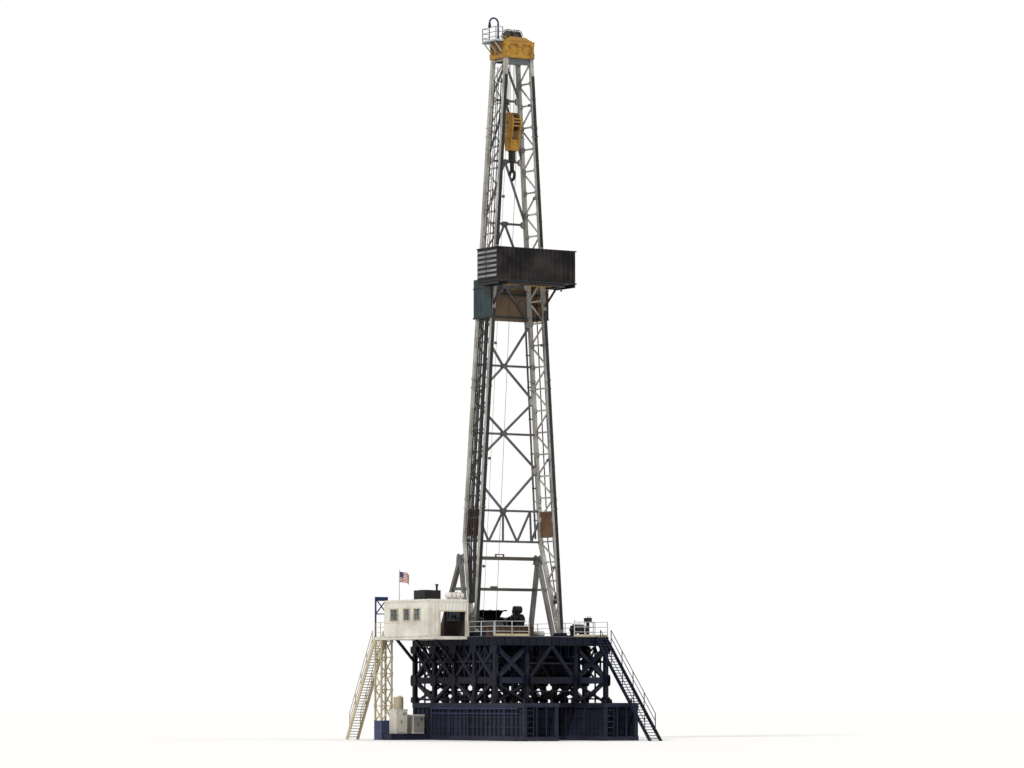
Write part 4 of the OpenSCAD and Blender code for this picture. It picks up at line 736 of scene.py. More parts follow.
def floor_edges():
    """Flanges, stiffeners and webs of the edge beams, with toe boards above them."""
    edge = Shape()
    low, high = UNDER, FLOOR_Z - 0.03
    for z in (low, high - 0.022):
        edge.ribs_x((-OUT, OUT), 0.012, FRONT - 0.01, REAR + 0.01, z, z + 0.022)
        edge.box((-OUT, FRONT - 0.014, z), (OUT, FRONT + 0.05, z + 0.022))
        edge.box((-OUT, REAR - 0.014, z), (OUT, REAR + 0.014, z + 0.022))
    for x in (-OUT, OUT):
        edge.ribs_y(spread(17, FRONT + 0.08, REAR - 0.08), 0.006, x - 0.011, x + 0.011, low, high)
    for y0, y1 in ((FRONT - 0.012, FRONT + 0.06), (REAR - 0.06, REAR + 0.012)):
        edge.ribs_x(spread(15, -OUT + 0.1, OUT - 0.1), 0.006, y0, y1, low, high)
    piece(edge, "floor_edge_flanges", SHADED_NAVY)

    web = Shape()
    web.ribs_y((FRONT + 0.011, REAR - 0.011), 0.005, -OUT + 0.02, OUT - 0.02, low + 0.01,
               high - 0.01)
    piece(web, "floor_edge_webs", SHADED_NAVY)

    toe = Shape()
    for y, x0, x1 in ((FRONT + 0.039, -OUT + 0.03, -GAP), (FRONT + 0.039, GAP, OUT - 0.56),
                      (REAR - 0.039, -OUT + 0.03, OUT - 0.1)):
        toe.ribs_y([y], 0.004, x0, x1, FLOOR_Z, FLOOR_Z + 0.08)
    toe.ribs_x([OUT - 0.039], 0.004, FRONT + 0.03, REAR - 0.03, FLOOR_Z, FLOOR_Z + 0.08)
    piece(toe, "toe_boards", CREAM)


substructure_plates()
substructure_pins()
substructure_bracing()
substructure_pipes()
floor_edges()

# Places of the doghouse
DOG_OUT = DOG_FRONT_LOW.x
DOG_IN = DOG_FRONT_HIGH.x
DOG_FRONT_Y = DOG_FRONT_LOW.y
DOG_REAR_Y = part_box("doghouse_rear_wall")[1].y
WALL_Z0, WALL_Z1 = DOG_LEFT_LOW.z, DOG_LEFT_HIGH.z
WALL_T = DOG_LEFT_HIGH.x - DOG_LEFT_LOW.x
SILL_Z, HEAD_Z = WALL_Z0 + 0.6, WALL_Z0 + 1.0
LEFT_WINDOWS = ((-0.12, 0.42), (0.6, 0.42), (1.48, 0.52))
# Spans of the doorways and the right window, with a jamb on each side
JAMB = 0.02
FRONT_DOOR = (DOG_IN - 1.2, DOG_IN - 0.06)
REAR_DOOR = (DOG_OUT + 0.98, DOG_OUT + 1.5)
SIDE_DOOR, SIDE_WINDOW = (0.68, 1.2), (-0.37, 0.47)
RIB_PITCH, RIB_W, RIB_D = 0.15, 0.062, 0.02
ROOF_Z = DOG_ROOF_HIGH.z


def ribbed_wall(shape, fixed, axis, way, start, end, holes):
    """Pressed ribs on one wall; holes are (from, to, low, high) that the ribs keep clear of."""
    count = int((end - start) / RIB_PITCH)
    for i in range(count + 1):
        at = start + (end - start - count * RIB_PITCH) / 2 + i * RIB_PITCH
        spans = [(WALL_Z0 + 0.03, WALL_Z1 - 0.01)]
        for a, b, low, high in holes:
            if a - RIB_W < at < b + RIB_W:
                spans = [s for z0, z1 in spans for s in ((z0, min(z1, low)), (max(z0, high), z1))
                         if s[1] - s[0] > 0.04]
        for z0, z1 in spans:
            outline = [(u, fixed + way * d) for u, d in twin(at, (RIB_W / 2, 0.0),
                                                             (RIB_W / 2 - 0.01, RIB_D))]
            if axis == 0:
                outline = [(x, y) for y, x in outline]
            else:
                outline.reverse()
            if way < 0:
                outline.reverse()
            shape.add([(x, y, z) for z in (z0, z1) for x, y in outline],
                      [(3, 2, 1, 0), (4, 5, 6, 7), (0, 1, 5, 4), (1, 2, 6, 5), (2, 3, 7, 6),
                       (3, 0, 4, 7)])


def frame_round(shape, fixed, axis, way, span, low, high, sill=True):
    """A frame of bars round an opening in a wall, inside the jambs of its span."""
    width, depth = 0.035, 0.027
    a, b = span[0] + JAMB, span[1] - JAMB
    spans = [(a - width, a, low, high), (b, b + width, low, high),
             (a - width, b + width, high, high + width)]
    if sill:
        spans.append((a - width - 0.02, b + width + 0.02, low - width, low))
    d0, d1 = fixed - way * 0.004, fixed + way * depth
    for u0, u1, z0, z1 in spans:
        if axis == 0:
            shape.box((d0, u0, z0), (d1, u1, z1))
        else:
            shape.box((u0, d0, z0), (u1, d1, z1))


def doghouse_walls():
    """Ribs, corner posts, trims and frames on every side of the doghouse."""
    ribs = Shape()
    left_spans = [(y - w / 2 - JAMB, y + w / 2 + JAMB) for y, w in LEFT_WINDOWS]
    windows = [(*span, SILL_Z - 0.05, HEAD_Z + 0.05) for span in left_spans]
    front_door = (*FRONT_DOOR, WALL_Z0, WALL_Z0 + 0.95)
    rear_door = (*REAR_DOOR, WALL_Z0, WALL_Z0 + 1.08)
    side_door = (*SIDE_DOOR, WALL_Z0, WALL_Z0 + 1.08)
    side_window = (*SIDE_WINDOW, SILL_Z - 0.05, HEAD_Z + 0.05)
    y0, y1 = DOG_FRONT_Y + 0.06, DOG_REAR_Y - 0.06
    ribbed_wall(ribs, DOG_OUT, 0, -1, y0, y1, windows)
    ribbed_wall(ribs, DOG_FRONT_Y, 1, -1, DOG_OUT + 0.06, DOG_IN - 0.03, [front_door])
    ribbed_wall(ribs, DOG_REAR_Y, 1, 1, DOG_OUT + 0.06, DOG_IN - 0.06, [rear_door])
    ribbed_wall(ribs, DOG_IN, 0, 1, y0, y1, [side_door, side_window])
    piece(ribs, "doghouse_ribs", DOG_WHITE)

    trim = Shape()
    low, high, lip = WALL_Z0 + 0.001, WALL_Z1 - 0.001, RIB_D + 0.003
    for x, sx in ((DOG_OUT, -1), (DOG_IN, 1)):
        for y, sy in ((DOG_FRONT_Y, -1), (DOG_REAR_Y, 1)):
            trim.box((x - sx * 0.05, y - sy * 0.05, low), (x + sx * lip, y + sy * lip, high))
    for z0, z1 in ((low, WALL_Z0 + 0.045), (SILL_Z - 0.1, SILL_Z - 0.065),
                   (WALL_Z1 - 0.04, high)):
        trim.box((DOG_OUT - lip, DOG_FRONT_Y, z0), (DOG_OUT, DOG_REAR_Y, z1))
    trim.box((DOG_OUT, DOG_FRONT_Y - lip, WALL_Z1 - 0.04), (DOG_IN, DOG_FRONT_Y, high))
    trim.box((DOG_OUT, DOG_REAR_Y, WALL_Z1 - 0.04), (DOG_IN, DOG_REAR_Y + 0.018, high))
    piece(trim, "doghouse_corners", DOG_WHITE, bevel=0.003)

    frames = Shape()
    bars = Shape()
    middle = (SILL_Z + HEAD_Z) / 2
    for span in left_spans:
        frame_round(frames, DOG_OUT, 0, -1, span, SILL_Z, HEAD_Z)
    x = DOG_OUT + WALL_T / 2
    for y, w in LEFT_WINDOWS:
        bars.ribs_y([y], 0.01, x - 0.012, x + 0.012, SILL_Z, HEAD_Z)
        bars.brick((x, y, middle), 0.01, w / 2, 0.008)
    frame_round(frames, DOG_IN, 0, 1, SIDE_WINDOW, SILL_Z, HEAD_Z)
    x = DOG_IN - WALL_T / 2
    bars.ribs_y((-0.083, 0.183), 0.01, x - 0.012, x + 0.012, SILL_Z, HEAD_Z)
    frame_round(frames, DOG_IN, 0, 1, SIDE_DOOR, WALL_Z0, WALL_Z0 + 1.03, False)
    frame_round(frames, DOG_REAR_Y, 1, 1, REAR_DOOR, WALL_Z0, WALL_Z0 + 1.03, False)
    frame_round(frames, DOG_FRONT_Y, 1, -1, FRONT_DOOR, WALL_Z0, WALL_Z0 + 0.9, False)
    piece(frames, "doghouse_frames", CREAM, bevel=0.003)
    piece(bars, "window_bars", BLACK)


def doghouse_roof_fittings():
    """Roof seams, gutter, cooler louvres and straps round the roof tank."""
    seams = Shape()
    low, high = DOG_ROOF_LOW, DOG_ROOF_HIGH
    seams.ribs_y(spread(9, low.y + 0.1, high.y - 0.1), 0.012, low.x + 0.06, high.x - 0.05,
                 ROOF_Z - 0.002, ROOF_Z + 0.014)
    seams.box((low.x - 0.012, low.y, ROOF_Z - 0.055), (low.x + 0.004, high.y, ROOF_Z - 0.006))
    piece(seams, "roof_seams", DOG_WHITE, bevel=0.002)

    low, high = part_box("roof_box")
    louvres = Shape()
    for i in range(11):
        z = low.z + 0.06 + i * 0.026
        louvres.ribs_x((low.x, high.x), 0.006, low.y + 0.05, high.y - 0.05, z, z + 0.01)
        louvres.ribs_y((low.y, high.y), 0.006, low.x + 0.05, high.x - 0.05, z, z + 0.01)
    fan = Vector(((low.x + high.x) / 2 - 0.08, (low.y + high.y) / 2, low.z + 0.365))
    for radius in (0.09, 0.15, 0.21):
        louvres.band(fan, Z, collar(radius, radius + 0.014, -0.002, 0.012), 28)
    for u, v in round_about(8, 0.225)[:4]:
        louvres.bar(off(fan, -u, -v, 0.008), off(fan, u, v, 0.008), 0.012, 0.012)
    piece(louvres, "roof_box_louvres", BLACK)

    low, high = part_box("roof_tank")
    straps = Shape()
    radius = (high.y - low.y) / 2
    centre = Vector(((low.x + high.x) / 2, (low.y + high.y) / 2, high.z - radius))
    for x in (-0.18, 0.0, 0.18):
        straps.drum(off(centre, x), X, radius + 0.004, 0.03, 32)
    straps.drum(off(centre, 0.09, 0, radius + 0.01), Z, 0.035, 0.04, 16, 0.004)
    piece(straps, "roof_tank_straps", LOUVRE_GREY, smooth=True)


def platform_fittings():
    """Flanges and joists of the doghouse platform and the grating of its porch."""
    low, high = PORCH_LOW, PORCH_HIGH
    under = Shape()
    for z in (high.z - 0.11, high.z - 0.03):
        under.ribs_x((low.x, high.x), 0.01, low.y, high.y, z, z + 0.014)
    under.ribs_y(spread(13, low.y + 0.04, high.y - 0.04), 0.006, low.x - 0.008, low.x + 0.004,
                 high.z - 0.11, high.z - 0.02)
    under.ribs_x((-2.9, -3.25, -3.6, -3.95), 0.02, low.y + 0.03, high.y - 0.03, high.z - 0.075,
                 high.z - 0.021)
    piece(under, "platform_joists", DOG_WHITE)

    grate = Shape()
    grate.ribs_x(spread(14, DOG_OUT + 0.06, DOG_IN - 0.06), 0.008, DOG_REAR_Y + 0.03,
                 high.y - 0.03, FLOOR_Z, FLOOR_Z + 0.01)
    grate.ribs_y(spread(8, DOG_REAR_Y + 0.05, high.y - 0.05), 0.005, DOG_OUT + 0.05,
                 DOG_IN - 0.05, FLOOR_Z + 0.001, FLOOR_Z + 0.009)
    piece(grate, "porch_grating", DECK)


doghouse_walls()
doghouse_roof_fittings()
platform_fittings()

# Heights of the mast above the drill floor
MAST_H = CROWN_Z - FLOOR_Z
CROSS_H = (4.725, 7.6, 10.15, 13.15)
CHORD_H = (6.25, 8.85, 11.75)
VEE_H = (13.15, 15.5, 17.85, 20.15)
SPLICE_H = (4.95, 9.45, 14.2, 18.9)
LAMP_H = (2.6, 6.6, 10.9, 16.4, 19.9)
APEX_Y, APEX_H, A_FOOT_Y = 0.85, 2.95, 1.85
LACE_N = 22
LACE_START = 3.59
LACE_PITCH = (MAST_H - 3.53 - 0.12) / LACE_N
LACE_H = [LACE_START + i * LACE_PITCH for i in range(LACE_N + 1)]
# Outlines of the small plates on the chords, from the middle of each plate
GUSSET_Y = ((-0.055, -0.11), (0.05, -0.07), (0.075, 0), (0.05, 0.07), (-0.055, 0.11))
GUSSET_X = ((0.05, -0.15), (-0.07, -0.1), (-0.1, 0), (-0.07, 0.1), (0.05, 0.15))


def front_point(side, h):
    return Vector((side * leg_x(FLOOR_Z + h), MAST_FRONT_Y, FLOOR_Z + h))


def rear_point(side, h):
    return Vector((side * leg_x(FLOOR_Z + h), rear_y(FLOOR_Z + h), FLOOR_Z + h))


def chord_way(side, point, h):
    """Direction of a chord at a height."""
    return (point(side, h + 0.2) - point(side, h - 0.2)).normalized()


def mast_gussets():
    """Small plates where the lacing meets the chords, on both faces of each leg."""
    plates = Shape()
    for side in (-1, 1):
        for h in LACE_H:
            for point, turn in ((front_point, 1), (rear_point, -1)):
                c = off(point(side, h), y=turn * 0.115)
                plates.plates_x((c.x - 0.03, c.x + 0.03),
                                [(c.y + turn * u, c.z + v) for u, v in GUSSET_Y], 0.008)
        for h in CHORD_H + VEE_H:
            c = off(rear_point(side, h), -side * 0.11)
            plates.plates_y((c.y - 0.045, c.y + 0.045),
                            [(c.x + side * u, c.z + v) for u, v in GUSSET_X], 0.01)
    piece(plates, "mast_gussets", MAST_WHITE)
    crossings = Shape()
    for h in CROSS_H + VEE_H[1:]:
        for face in (-0.047, 0.047):
            gusset(crossings, off(rear_point(0, h), y=face), 1, 0.125, 0.085)
    piece(crossings, "brace_crossings", SHADED_MAST)


def mast_splices():
    """Sleeves, side plates and pins where the mast sections join."""
    sleeves = Shape()
    pins = Shape()
    for side, h, point in [(side, h, point) for side in (-1, 1) for h in SPLICE_H
                           for point in (front_point, rear_point)]:
        way = chord_way(side, point, h)
        centre = point(side, h)
        for c in (centre - way * 0.16, centre + way * 0.16):
            sleeves.bar(c - way * 0.025, c + way * 0.025, CHORD + 0.05, across=X)
        for face in (-1, 1):
            c = off(centre, y=face * (CHORD / 2 + 0.012))
            sleeves.bar(c - way * 0.24, c + way * 0.24, 0.09, 0.018, across=X)
            pins.drum(centre + way * face * 0.09, Y, 0.024, CHORD + 0.1, 12, 0.004)
    piece(sleeves, "mast_splices", MAST_WHITE, bevel=0.003)
    piece(pins, "splice_pins", BLACK, smooth=True)


def rust_plates():
    """Rusted cover plates on the web of each leg, with their bolts."""
    plates = Shape()
    for side in (-1, 1):
        for way in (-1, 1):
            plates.plate([off(point(side, h), way * 0.017, inset)
                          for point, inset, h in ((front_point, 0.1, 3.76),
                                                  (rear_point, -0.1, 3.76),
                                                  (rear_point, -0.1, 4.7),
                                                  (front_point, 0.1, 4.7))], X, 0.01)
            for h in (3.82, 4.64):
                for y in spread(5, MAST_FRONT_Y + 0.17, rear_y(FLOOR_Z + h) - 0.17):
                    plates.bolt((side * leg_x(FLOOR_Z + h) + way * 0.022, y, FLOOR_Z + h),
                                (way, 0, 0), 0.014, 0.012)
    piece(plates, "rust_plates", RUST_PLATE)


def mast_ladder():
    """Ladder up the rear of the left leg, from the floor to the crown."""
    ladder = Shape()
    offset = Vector((0.14, CHORD / 2 + 0.09, 0))
    width = Vector((0.19, 0, 0))
    heights = [0.45 + i * 0.5 for i in range(int((MAST_H - 0.6) / 0.5) + 1)]
    clear = [h for h in heights if not 1.0 < h < 3.6]
    for a, b in zip(clear, clear[1:]):
        if b - a > 0.6:
            continue
        for rail in (offset, offset + width):
            ladder.bar(rear_point(-1, a) + rail, rear_point(-1, b) + rail, 0.016, 0.03, across=X)
        for k in range(3):
            p = rear_point(-1, mix(a, b, (k + 0.5) / 3)) + offset
            ladder.tube([p, p + width], 0.008, 6)
        base = rear_point(-1, a)
        ladder.bar(off(base, y=CHORD / 2 - 0.01), base + offset + width * 0.5, 0.02)
    piece(ladder, "mast_ladder", SHADED_MAST)


def mast_services():
    """Standpipe and cable runs up the legs, with clamps and lamps."""
    pipes = Shape()
    offset = Vector((-0.13, CHORD / 2 + 0.05, 0))
    path = [rear_point(1, h) + offset for h in (3.7, 6.0, 9.0, 12.4)]
    path += [off(path[-1], x, 0, z) for x, z in ((-0.02, 0.16), (-0.08, 0.26), (-0.18, 0.28),
                                                 (-0.27, 0.22), (-0.3, 0.12))]
    pipes.tube(path, 0.038, 12)
    for h in (4.4, 5.6, 6.9, 8.2, 9.4, 10.6, 11.8):
        p = rear_point(1, h)
        pipes.bar(off(p, -0.02, CHORD / 2 - 0.01), p + offset, 0.05)
        pipes.lathe(p + offset, chord_way(1, rear_point, h), [(0.05, -0.03), (0.05, 0.03)], 12)
    piece(pipes, "standpipe", SHADED_MAST, smooth=True)

    trays = Shape()
    gap = Vector((0, -CHORD / 2 - 0.018, 0))
    for side in (-1, 1):
        for a, b in ((0.3, 6.0), (6.0, 12.2), (14.6, 21.0)):
            trays.bar(front_point(side, a) + gap, front_point(side, b) + gap, 0.105, 0.035,
                      across=X)
        for h in [0.6 + i * 1.15 for i in range(18)]:
            if not 12.2 < h < 14.6:
                p = front_point(side, h) + gap
                trays.bar(off(p, z=-0.012), off(p, z=0.012), 0.13, 0.045, across=X)
    piece(trays, "cable_trays", BLACK)

    lamps = Shape()
    glows = Shape()
    for side in (-1, 1):
        for h in LAMP_H:
            p = off(front_point(side, h), -side * 0.1, -0.02)
            lamps.bar(off(p, side * 0.03), off(p, -side * 0.06), 0.02)
            lamps.brick(off(p, -side * 0.09), 0.045, 0.03, 0.05)
            glows.brick(off(p, -side * 0.09, -0.0325), 0.035, 0.0035, 0.04)
    piece(lamps, "mast_lamps", BLACK, bevel=0.004)
    piece(glows, "lamp_glasses", GLASS)


def web_point(side, h, share):
    """Point just outside the web of a leg, a share of the way from its front to its rear."""
    z = FLOOR_Z + h
    return Vector((side * (leg_x(z) + WEB_CLEAR), mix(MAST_FRONT_Y, rear_y(z), share), z))


def leg_cables():
    """Dark cables clipped to rungs on the outside of each leg, from a box near its foot."""
    cables = Shape()
    rungs = Shape()
    for side, runs, half_box in ((-1, LEFT_CABLES, 0.19), (1, RIGHT_CABLES, 0.11)):
        for k, (share, radius) in enumerate(runs):
            top = LOW_CABLE_H if k % 3 else HIGH_CABLE_H
            cables.tube([web_point(side, h, share) for h in (1.55, 3.53, top)], radius, 6)
        for h in LACE_H:
            if h < LOW_CABLE_H - 0.1:
                rungs.bar(web_point(side, h, 0.06), web_point(side, h, 0.86), 0.024, 0.016,
                          across=Z)
        cables.brick(off(web_point(side, 1.45, 0.5), z=-0.03), 0.045, half_box, 0.17)
    piece(cables, "leg_cables", BLACK)
    piece(rungs, "cable_rungs", SHADED_MAST)


WEB_CLEAR = 0.058
LOW_CABLE_H, HIGH_CABLE_H = 12.6, 20.9
LEFT_CABLES = ((0.18, 0.021), (0.25, 0.021), (0.32, 0.021), (0.39, 0.016), (0.52, 0.03),
               (0.62, 0.018), (0.69, 0.018), (0.78, 0.024))
RIGHT_CABLES = ((0.2, 0.018), (0.27, 0.018), (0.6, 0.022))


def mast_feet_details():
    """Pins through the shoes and ribs beside them."""
    pins = Shape()
    for x in both(LEG_FOOT_X):
        pins.drum((x, MAST_FRONT_Y + 0.055, FLOOR_Z + 0.1), Y, 0.045, 0.42, 20, 0.008)
        pins.plates_y((MAST_FRONT_Y - 0.15, MAST_FRONT_Y + 0.25),
                      twin(x, (0.2, FLOOR_Z + 0.04), (0.13, FLOOR_Z + 0.17)), 0.02)
        pins.bolts((x - 0.19, x + 0.19), (MAST_FRONT_Y - 0.19, MAST_FRONT_Y + 0.28),
                   FLOOR_Z + 0.04, 0.022, 0.024)
    piece(pins, "shoe_pins", SHADED_NAVY, smooth=True)


def a_frame_details():
    """Pins and cheek plates at the apex and feet of the A-frame."""
    parts = Shape()
    y, z = APEX_Y, FLOOR_Z + APEX_H
    for side in (-1, 1):
        x, foot = side * leg_x(z), side * (LEG_FOOT_X + 0.095)
        parts.drum((x, y, z), X, 0.055, 0.26, 20, 0.006)
        parts.plates_x((x - 0.1, x + 0.1),
                       twin(y, (0.17, z - 0.22), (0.13, z + 0.1), (0, z + 0.16)), 0.018)
        parts.plates_x((foot - 0.1, foot + 0.1),
                       twin(A_FOOT_Y, (0.12, FLOOR_Z + 0.05), (0.07, FLOOR_Z + 0.26)), 0.018)
        parts.drum((foot, A_FOOT_Y - 0.01, FLOOR_Z + 0.17), X, 0.04, 0.27, 16, 0.005)
        parts.bolts((foot - 0.1, foot + 0.1), (A_FOOT_Y - 0.13, A_FOOT_Y + 0.13), FLOOR_Z + 0.05,
                    0.018, 0.02)
    piece(parts, "a_frame_pins", SHADED_MAST, smooth=True)


mast_gussets()
leg_cables()
mast_splices()
rust_plates()
mast_ladder()
mast_services()
mast_feet_details()
a_frame_details()

# Places of the racking board
BOARD_Z = BOARD_LOW.z
BOARD_TOP = BOARD_HIGH.z
BOARD_FRONT, BOARD_REAR = BOARD_LOW.y, BOARD_HIGH.y
BOARD_X = BOARD_HIGH.x


def folded_sheet(shape, start, end, low, high, outward, depth, fold=0.115):
    """A sheet with trapezoidal vertical folds from start to end, both (x, y)."""
    start, end = Vector((*start, 0)), Vector((*end, 0))
    outward = Vector((*outward, 0))
    count = max(int((end - start).length / fold), 1)
    line = [start + (end - start) * ((i + share) / count) + outward * d for i in range(count)
            for share, d in ((0.0, 0.0), (0.35, 0.0), (0.5, depth), (0.85, depth))]
    line.append(end)
    n = len(line)
    points = [off(p, z=z) + back for back in (Vector(), outward * -0.004) for z in (low, high)
              for p in line]
    faces = []
    for i in range(n - 1):
        faces.append((i, i + 1, n + i + 1, n + i))
        faces.append((2 * n + i + 1, 2 * n + i, 3 * n + i, 3 * n + i + 1))
        faces.append((i + 1, i, 2 * n + i, 2 * n + i + 1))
        faces.append((n + i, n + i + 1, 3 * n + i + 1, 3 * n + i))
    faces.append((0, n, 3 * n, 2 * n))
    faces.append((2 * n - 1, n - 1, 3 * n - 1, 4 * n - 1))
    shape.add(points, faces)


def racking_walls():
    """Folded black sheet outside the board walls, with louvres, girts and a dark edge."""
    low, high = BOARD_Z - 0.02, BOARD_TOP - 0.02
    sheet = Shape()
    folded_sheet(sheet, (-BOARD_X, BOARD_FRONT - 0.003), (BOARD_X, BOARD_FRONT - 0.003), low,
                 high, (0, -1), 0.034, 0.19)
    folded_sheet(sheet, (BOARD_X + 0.003, BOARD_FRONT), (BOARD_X + 0.003, BOARD_REAR), low,
                 high, (1, 0), 0.034, 0.19)
    piece(sheet, "racking_sheet", BLACK_SHEET)

    left = Shape()
    left.box((-BOARD_X - 0.006, BOARD_FRONT, low), (-BOARD_X + 0.001, BOARD_REAR, high))
    piece(left, "racking_left_sheet", BLACK_SHEET)
    louvres = Shape()
    for z in spread(6, BOARD_Z + 0.13, BOARD_TOP - 0.2):
        for start, end in ((BOARD_FRONT + 0.05, mix(BOARD_FRONT, BOARD_REAR, 0.52)),
                           (mix(BOARD_FRONT, BOARD_REAR, 0.57), BOARD_REAR - 0.05)):
            rim = [(-BOARD_X - 0.006, z + 0.085), (-BOARD_X - 0.04, z + 0.012),
                   (-BOARD_X - 0.04, z), (-BOARD_X - 0.006, z - 0.004)]
            louvres.add([(x, y, up) for y in (start, end) for x, up in rim],
                        [(0, 1, 5, 4), (1, 2, 6, 5), (2, 3, 7, 6), (3, 0, 4, 7), (0, 3, 2, 1),
                         (4, 5, 6, 7)])
    piece(louvres, "racking_louvres", LOUVRE_GREY)

    girts = Shape()
    inner_x, inner_y = BOARD_X - 0.016, BOARD_FRONT + 0.016
    for z in (BOARD_Z + 0.02, BOARD_Z + 0.42, BOARD_Z + 0.82, BOARD_TOP - 0.03):
        girts.box((-inner_x, inner_y, z - 0.02), (inner_x, inner_y + 0.03, z + 0.02))
        girts.ribs_x(both(inner_x - 0.015), 0.015, inner_y, BOARD_REAR, z - 0.02, z + 0.02)
    girts.ribs_x(spread(9, -inner_x + 0.02, inner_x - 0.02), 0.02, inner_y, inner_y + 0.05,
                 BOARD_Z, BOARD_TOP - 0.01)
    for side in (-1, 1):
        girts.ribs_y(spread(5, inner_y + 0.02, BOARD_REAR - 0.02), 0.02, side * inner_x,
                     side * (inner_x - 0.05), BOARD_Z, BOARD_TOP - 0.01)
    piece(girts, "racking_girts", BLACK)

    caps = Shape()
    for z0, z1, out in ((BOARD_TOP - 0.035, BOARD_TOP + 0.004, 0.04),
                        (BOARD_Z - 0.035, BOARD_Z + 0.012, 0.042)):
        caps.box((-BOARD_X - out, BOARD_FRONT - out, z0), (BOARD_X + out, BOARD_FRONT + 0.002, z1))
        for side in (-1, 1):
            caps.box((side * (BOARD_X + out), BOARD_FRONT, z0),
                     (side * (BOARD_X - 0.002), BOARD_REAR + 0.004, z1))
    piece(caps, "racking_edges", BLACK, bevel=0.002)


def racking_details():
    """Finger latches, walk grating, rails and boom of the board."""
    latches = Shape()
    for y in [BOARD_FRONT + 0.195 + i * (1.225 - 0.3) / 8 for i in range(8)]:
        for x in both(*spread(7, 0.3, 1.12)):
            latches.brick((x, y, BOARD_Z - 0.021), 0.014, 0.03, 0.007)
        for x in both(0.24):
            latches.brick((x, y, BOARD_Z - 0.055), 0.012, 0.028, 0.035)
    piece(latches, "finger_latches", OCHRE)

    grate = Shape()
    walk_in = BOARD_X - 0.36
    grate.ribs_x(both(*spread(5, walk_in, BOARD_X - 0.06)), 0.006, BOARD_FRONT + 0.05,
                 BOARD_REAR - 0.02, BOARD_Z, BOARD_Z + 0.01)
    for side in (-1, 1):
        grate.ribs_y(spread(16, BOARD_FRONT + 0.06, BOARD_REAR - 0.04), 0.004,
                     side * (walk_in - 0.02), side * (BOARD_X - 0.04), BOARD_Z, BOARD_Z + 0.009)
    grate.ribs_x([0], 0.15, BOARD_FRONT + 0.1, MAST_FRONT_Y - 0.14, BOARD_Z - 0.006,
                 BOARD_Z + 0.004)
    piece(grate, "board_grating", DECK)

    rails = Shape()
    foot, rear = BOARD_Z - 0.01, BOARD_REAR - 0.02
    for side in (-1, 1):
        x = side * (walk_in + 0.02)
        for z in (BOARD_Z + 0.25, BOARD_Z + 0.5):
            rails.tube([(x, rear, z), (side * (BOARD_X - 0.03), rear, z)], 0.01)
        rails.tube([(x, rear, foot), (x, rear, BOARD_Z + 0.5)], 0.011)
    y0, y1, top = BOARD_FRONT + 0.13, MAST_FRONT_Y - 0.16, BOARD_Z + 0.38
    for x in (-0.14, 0.14):
        for path in ([(x, y0, foot), (x, y0, top)], [(x, y1, foot), (x, y1, top)],
                     [(x, y0, top), (x, y1, top)]):
            rails.tube(path, 0.009)
    piece(rails, "board_rails", RAIL_GREY, smooth=True)

    boom = Shape()
    tip = Vector((BOARD_X + 0.09, BOARD_REAR - 0.3, BOARD_Z))
    boom.bar(off(tip, -0.39, z=-0.06), off(tip, 0.02, z=-0.06), 0.035)
    boom.bar(off(tip, z=-0.16), off(tip, z=0.03), 0.03)
    boom.drum(off(tip, z=-0.17), Y, 0.035, 0.05, 14, 0.004)
    piece(boom, "board_boom", BLACK, smooth=True)


# Rise of the wind walls behind the racking board, over the walls of the frame
WALL_RISE = 0.33


def mast_wind_sheets():
    """Ribbed sheet over the wind walls of the mast, with dark edges."""
    low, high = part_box("mast_wind_walls")
    top = high.z - 0.01
    crest = top + WALL_RISE
    rear = Shape()
    folded_sheet(rear, (high.x - 0.02, high.y + 0.003), (low.x + 0.02, high.y + 0.003), low.z,
                 crest, (0, 1), 0.016)
    folded_sheet(rear, (low.x + 0.12, high.y - 0.02), (high.x - 0.12, high.y - 0.02), low.z,
                 top, (0, -1), 0.01)
    piece(rear, "wind_sheet_rear", TAN_SHEET)
    for name, x, side, material in (("wind_sheet_left", low.x, -1, TEAL_SHEET),
                                    ("wind_sheet_right", high.x, 1, SKID_BROWN)):
        sheet = Shape()
        for face, y0, y1, z0, z1, way, depth in (
                (0.003, low.y + 0.01, high.y, low.z, top, 1, 0.016),
                (0.003, low.y + 0.3, high.y, top, crest, 1, 0.016),
                (-0.02, high.y - 0.03, low.y + 0.02, low.z, top, -1, 0.01)):
            ends = [(x + side * face, y0), (x + side * face, y1)][::side]
            folded_sheet(sheet, *ends, z0, z1, (side * way, 0), depth, 0.15)
        piece(sheet, name, material)
    edges = Shape()
    for z0, z1 in ((low.z - 0.004, low.z + 0.05), (top - 0.04, top + 0.004)):
        edges.box((low.x - 0.022, high.y - 0.002, z0), (high.x + 0.022, high.y + 0.022, z1))
        edges.box((low.x - 0.022, low.y, z0), (low.x + 0.002, high.y, z1))
        edges.box((high.x - 0.002, low.y, z0), (high.x + 0.022, high.y, z1))
    piece(edges, "wind_sheet_edges", BLACK)


racking_walls()
racking_details()
mast_wind_sheets()

# Places of the crown and the blocks
CROWN_TOP = CROWN_HIGH.z - 0.24
SHEAVE_R = (SHEAVES_HIGH.z - SHEAVES_LOW.z) / 2
SHEAVE_Z = (SHEAVES_LOW.z + SHEAVES_HIGH.z) / 2
SHEAVE_N, SHEAVE_PITCH = 5, 0.06
SHEAVE_XS = [(i - (SHEAVE_N - 1) / 2) * SHEAVE_PITCH for i in range(SHEAVE_N)]
FAST_X = 0.235
AXLE_Z = LINES_LOW.z
LINE_R = 0.008
BARREL_R, FLANGE_R = 0.24, 0.36
LINE_Y = LINES_HIGH.y - LINE_R
HALF_W, HALF_L = 0.64, 0.56


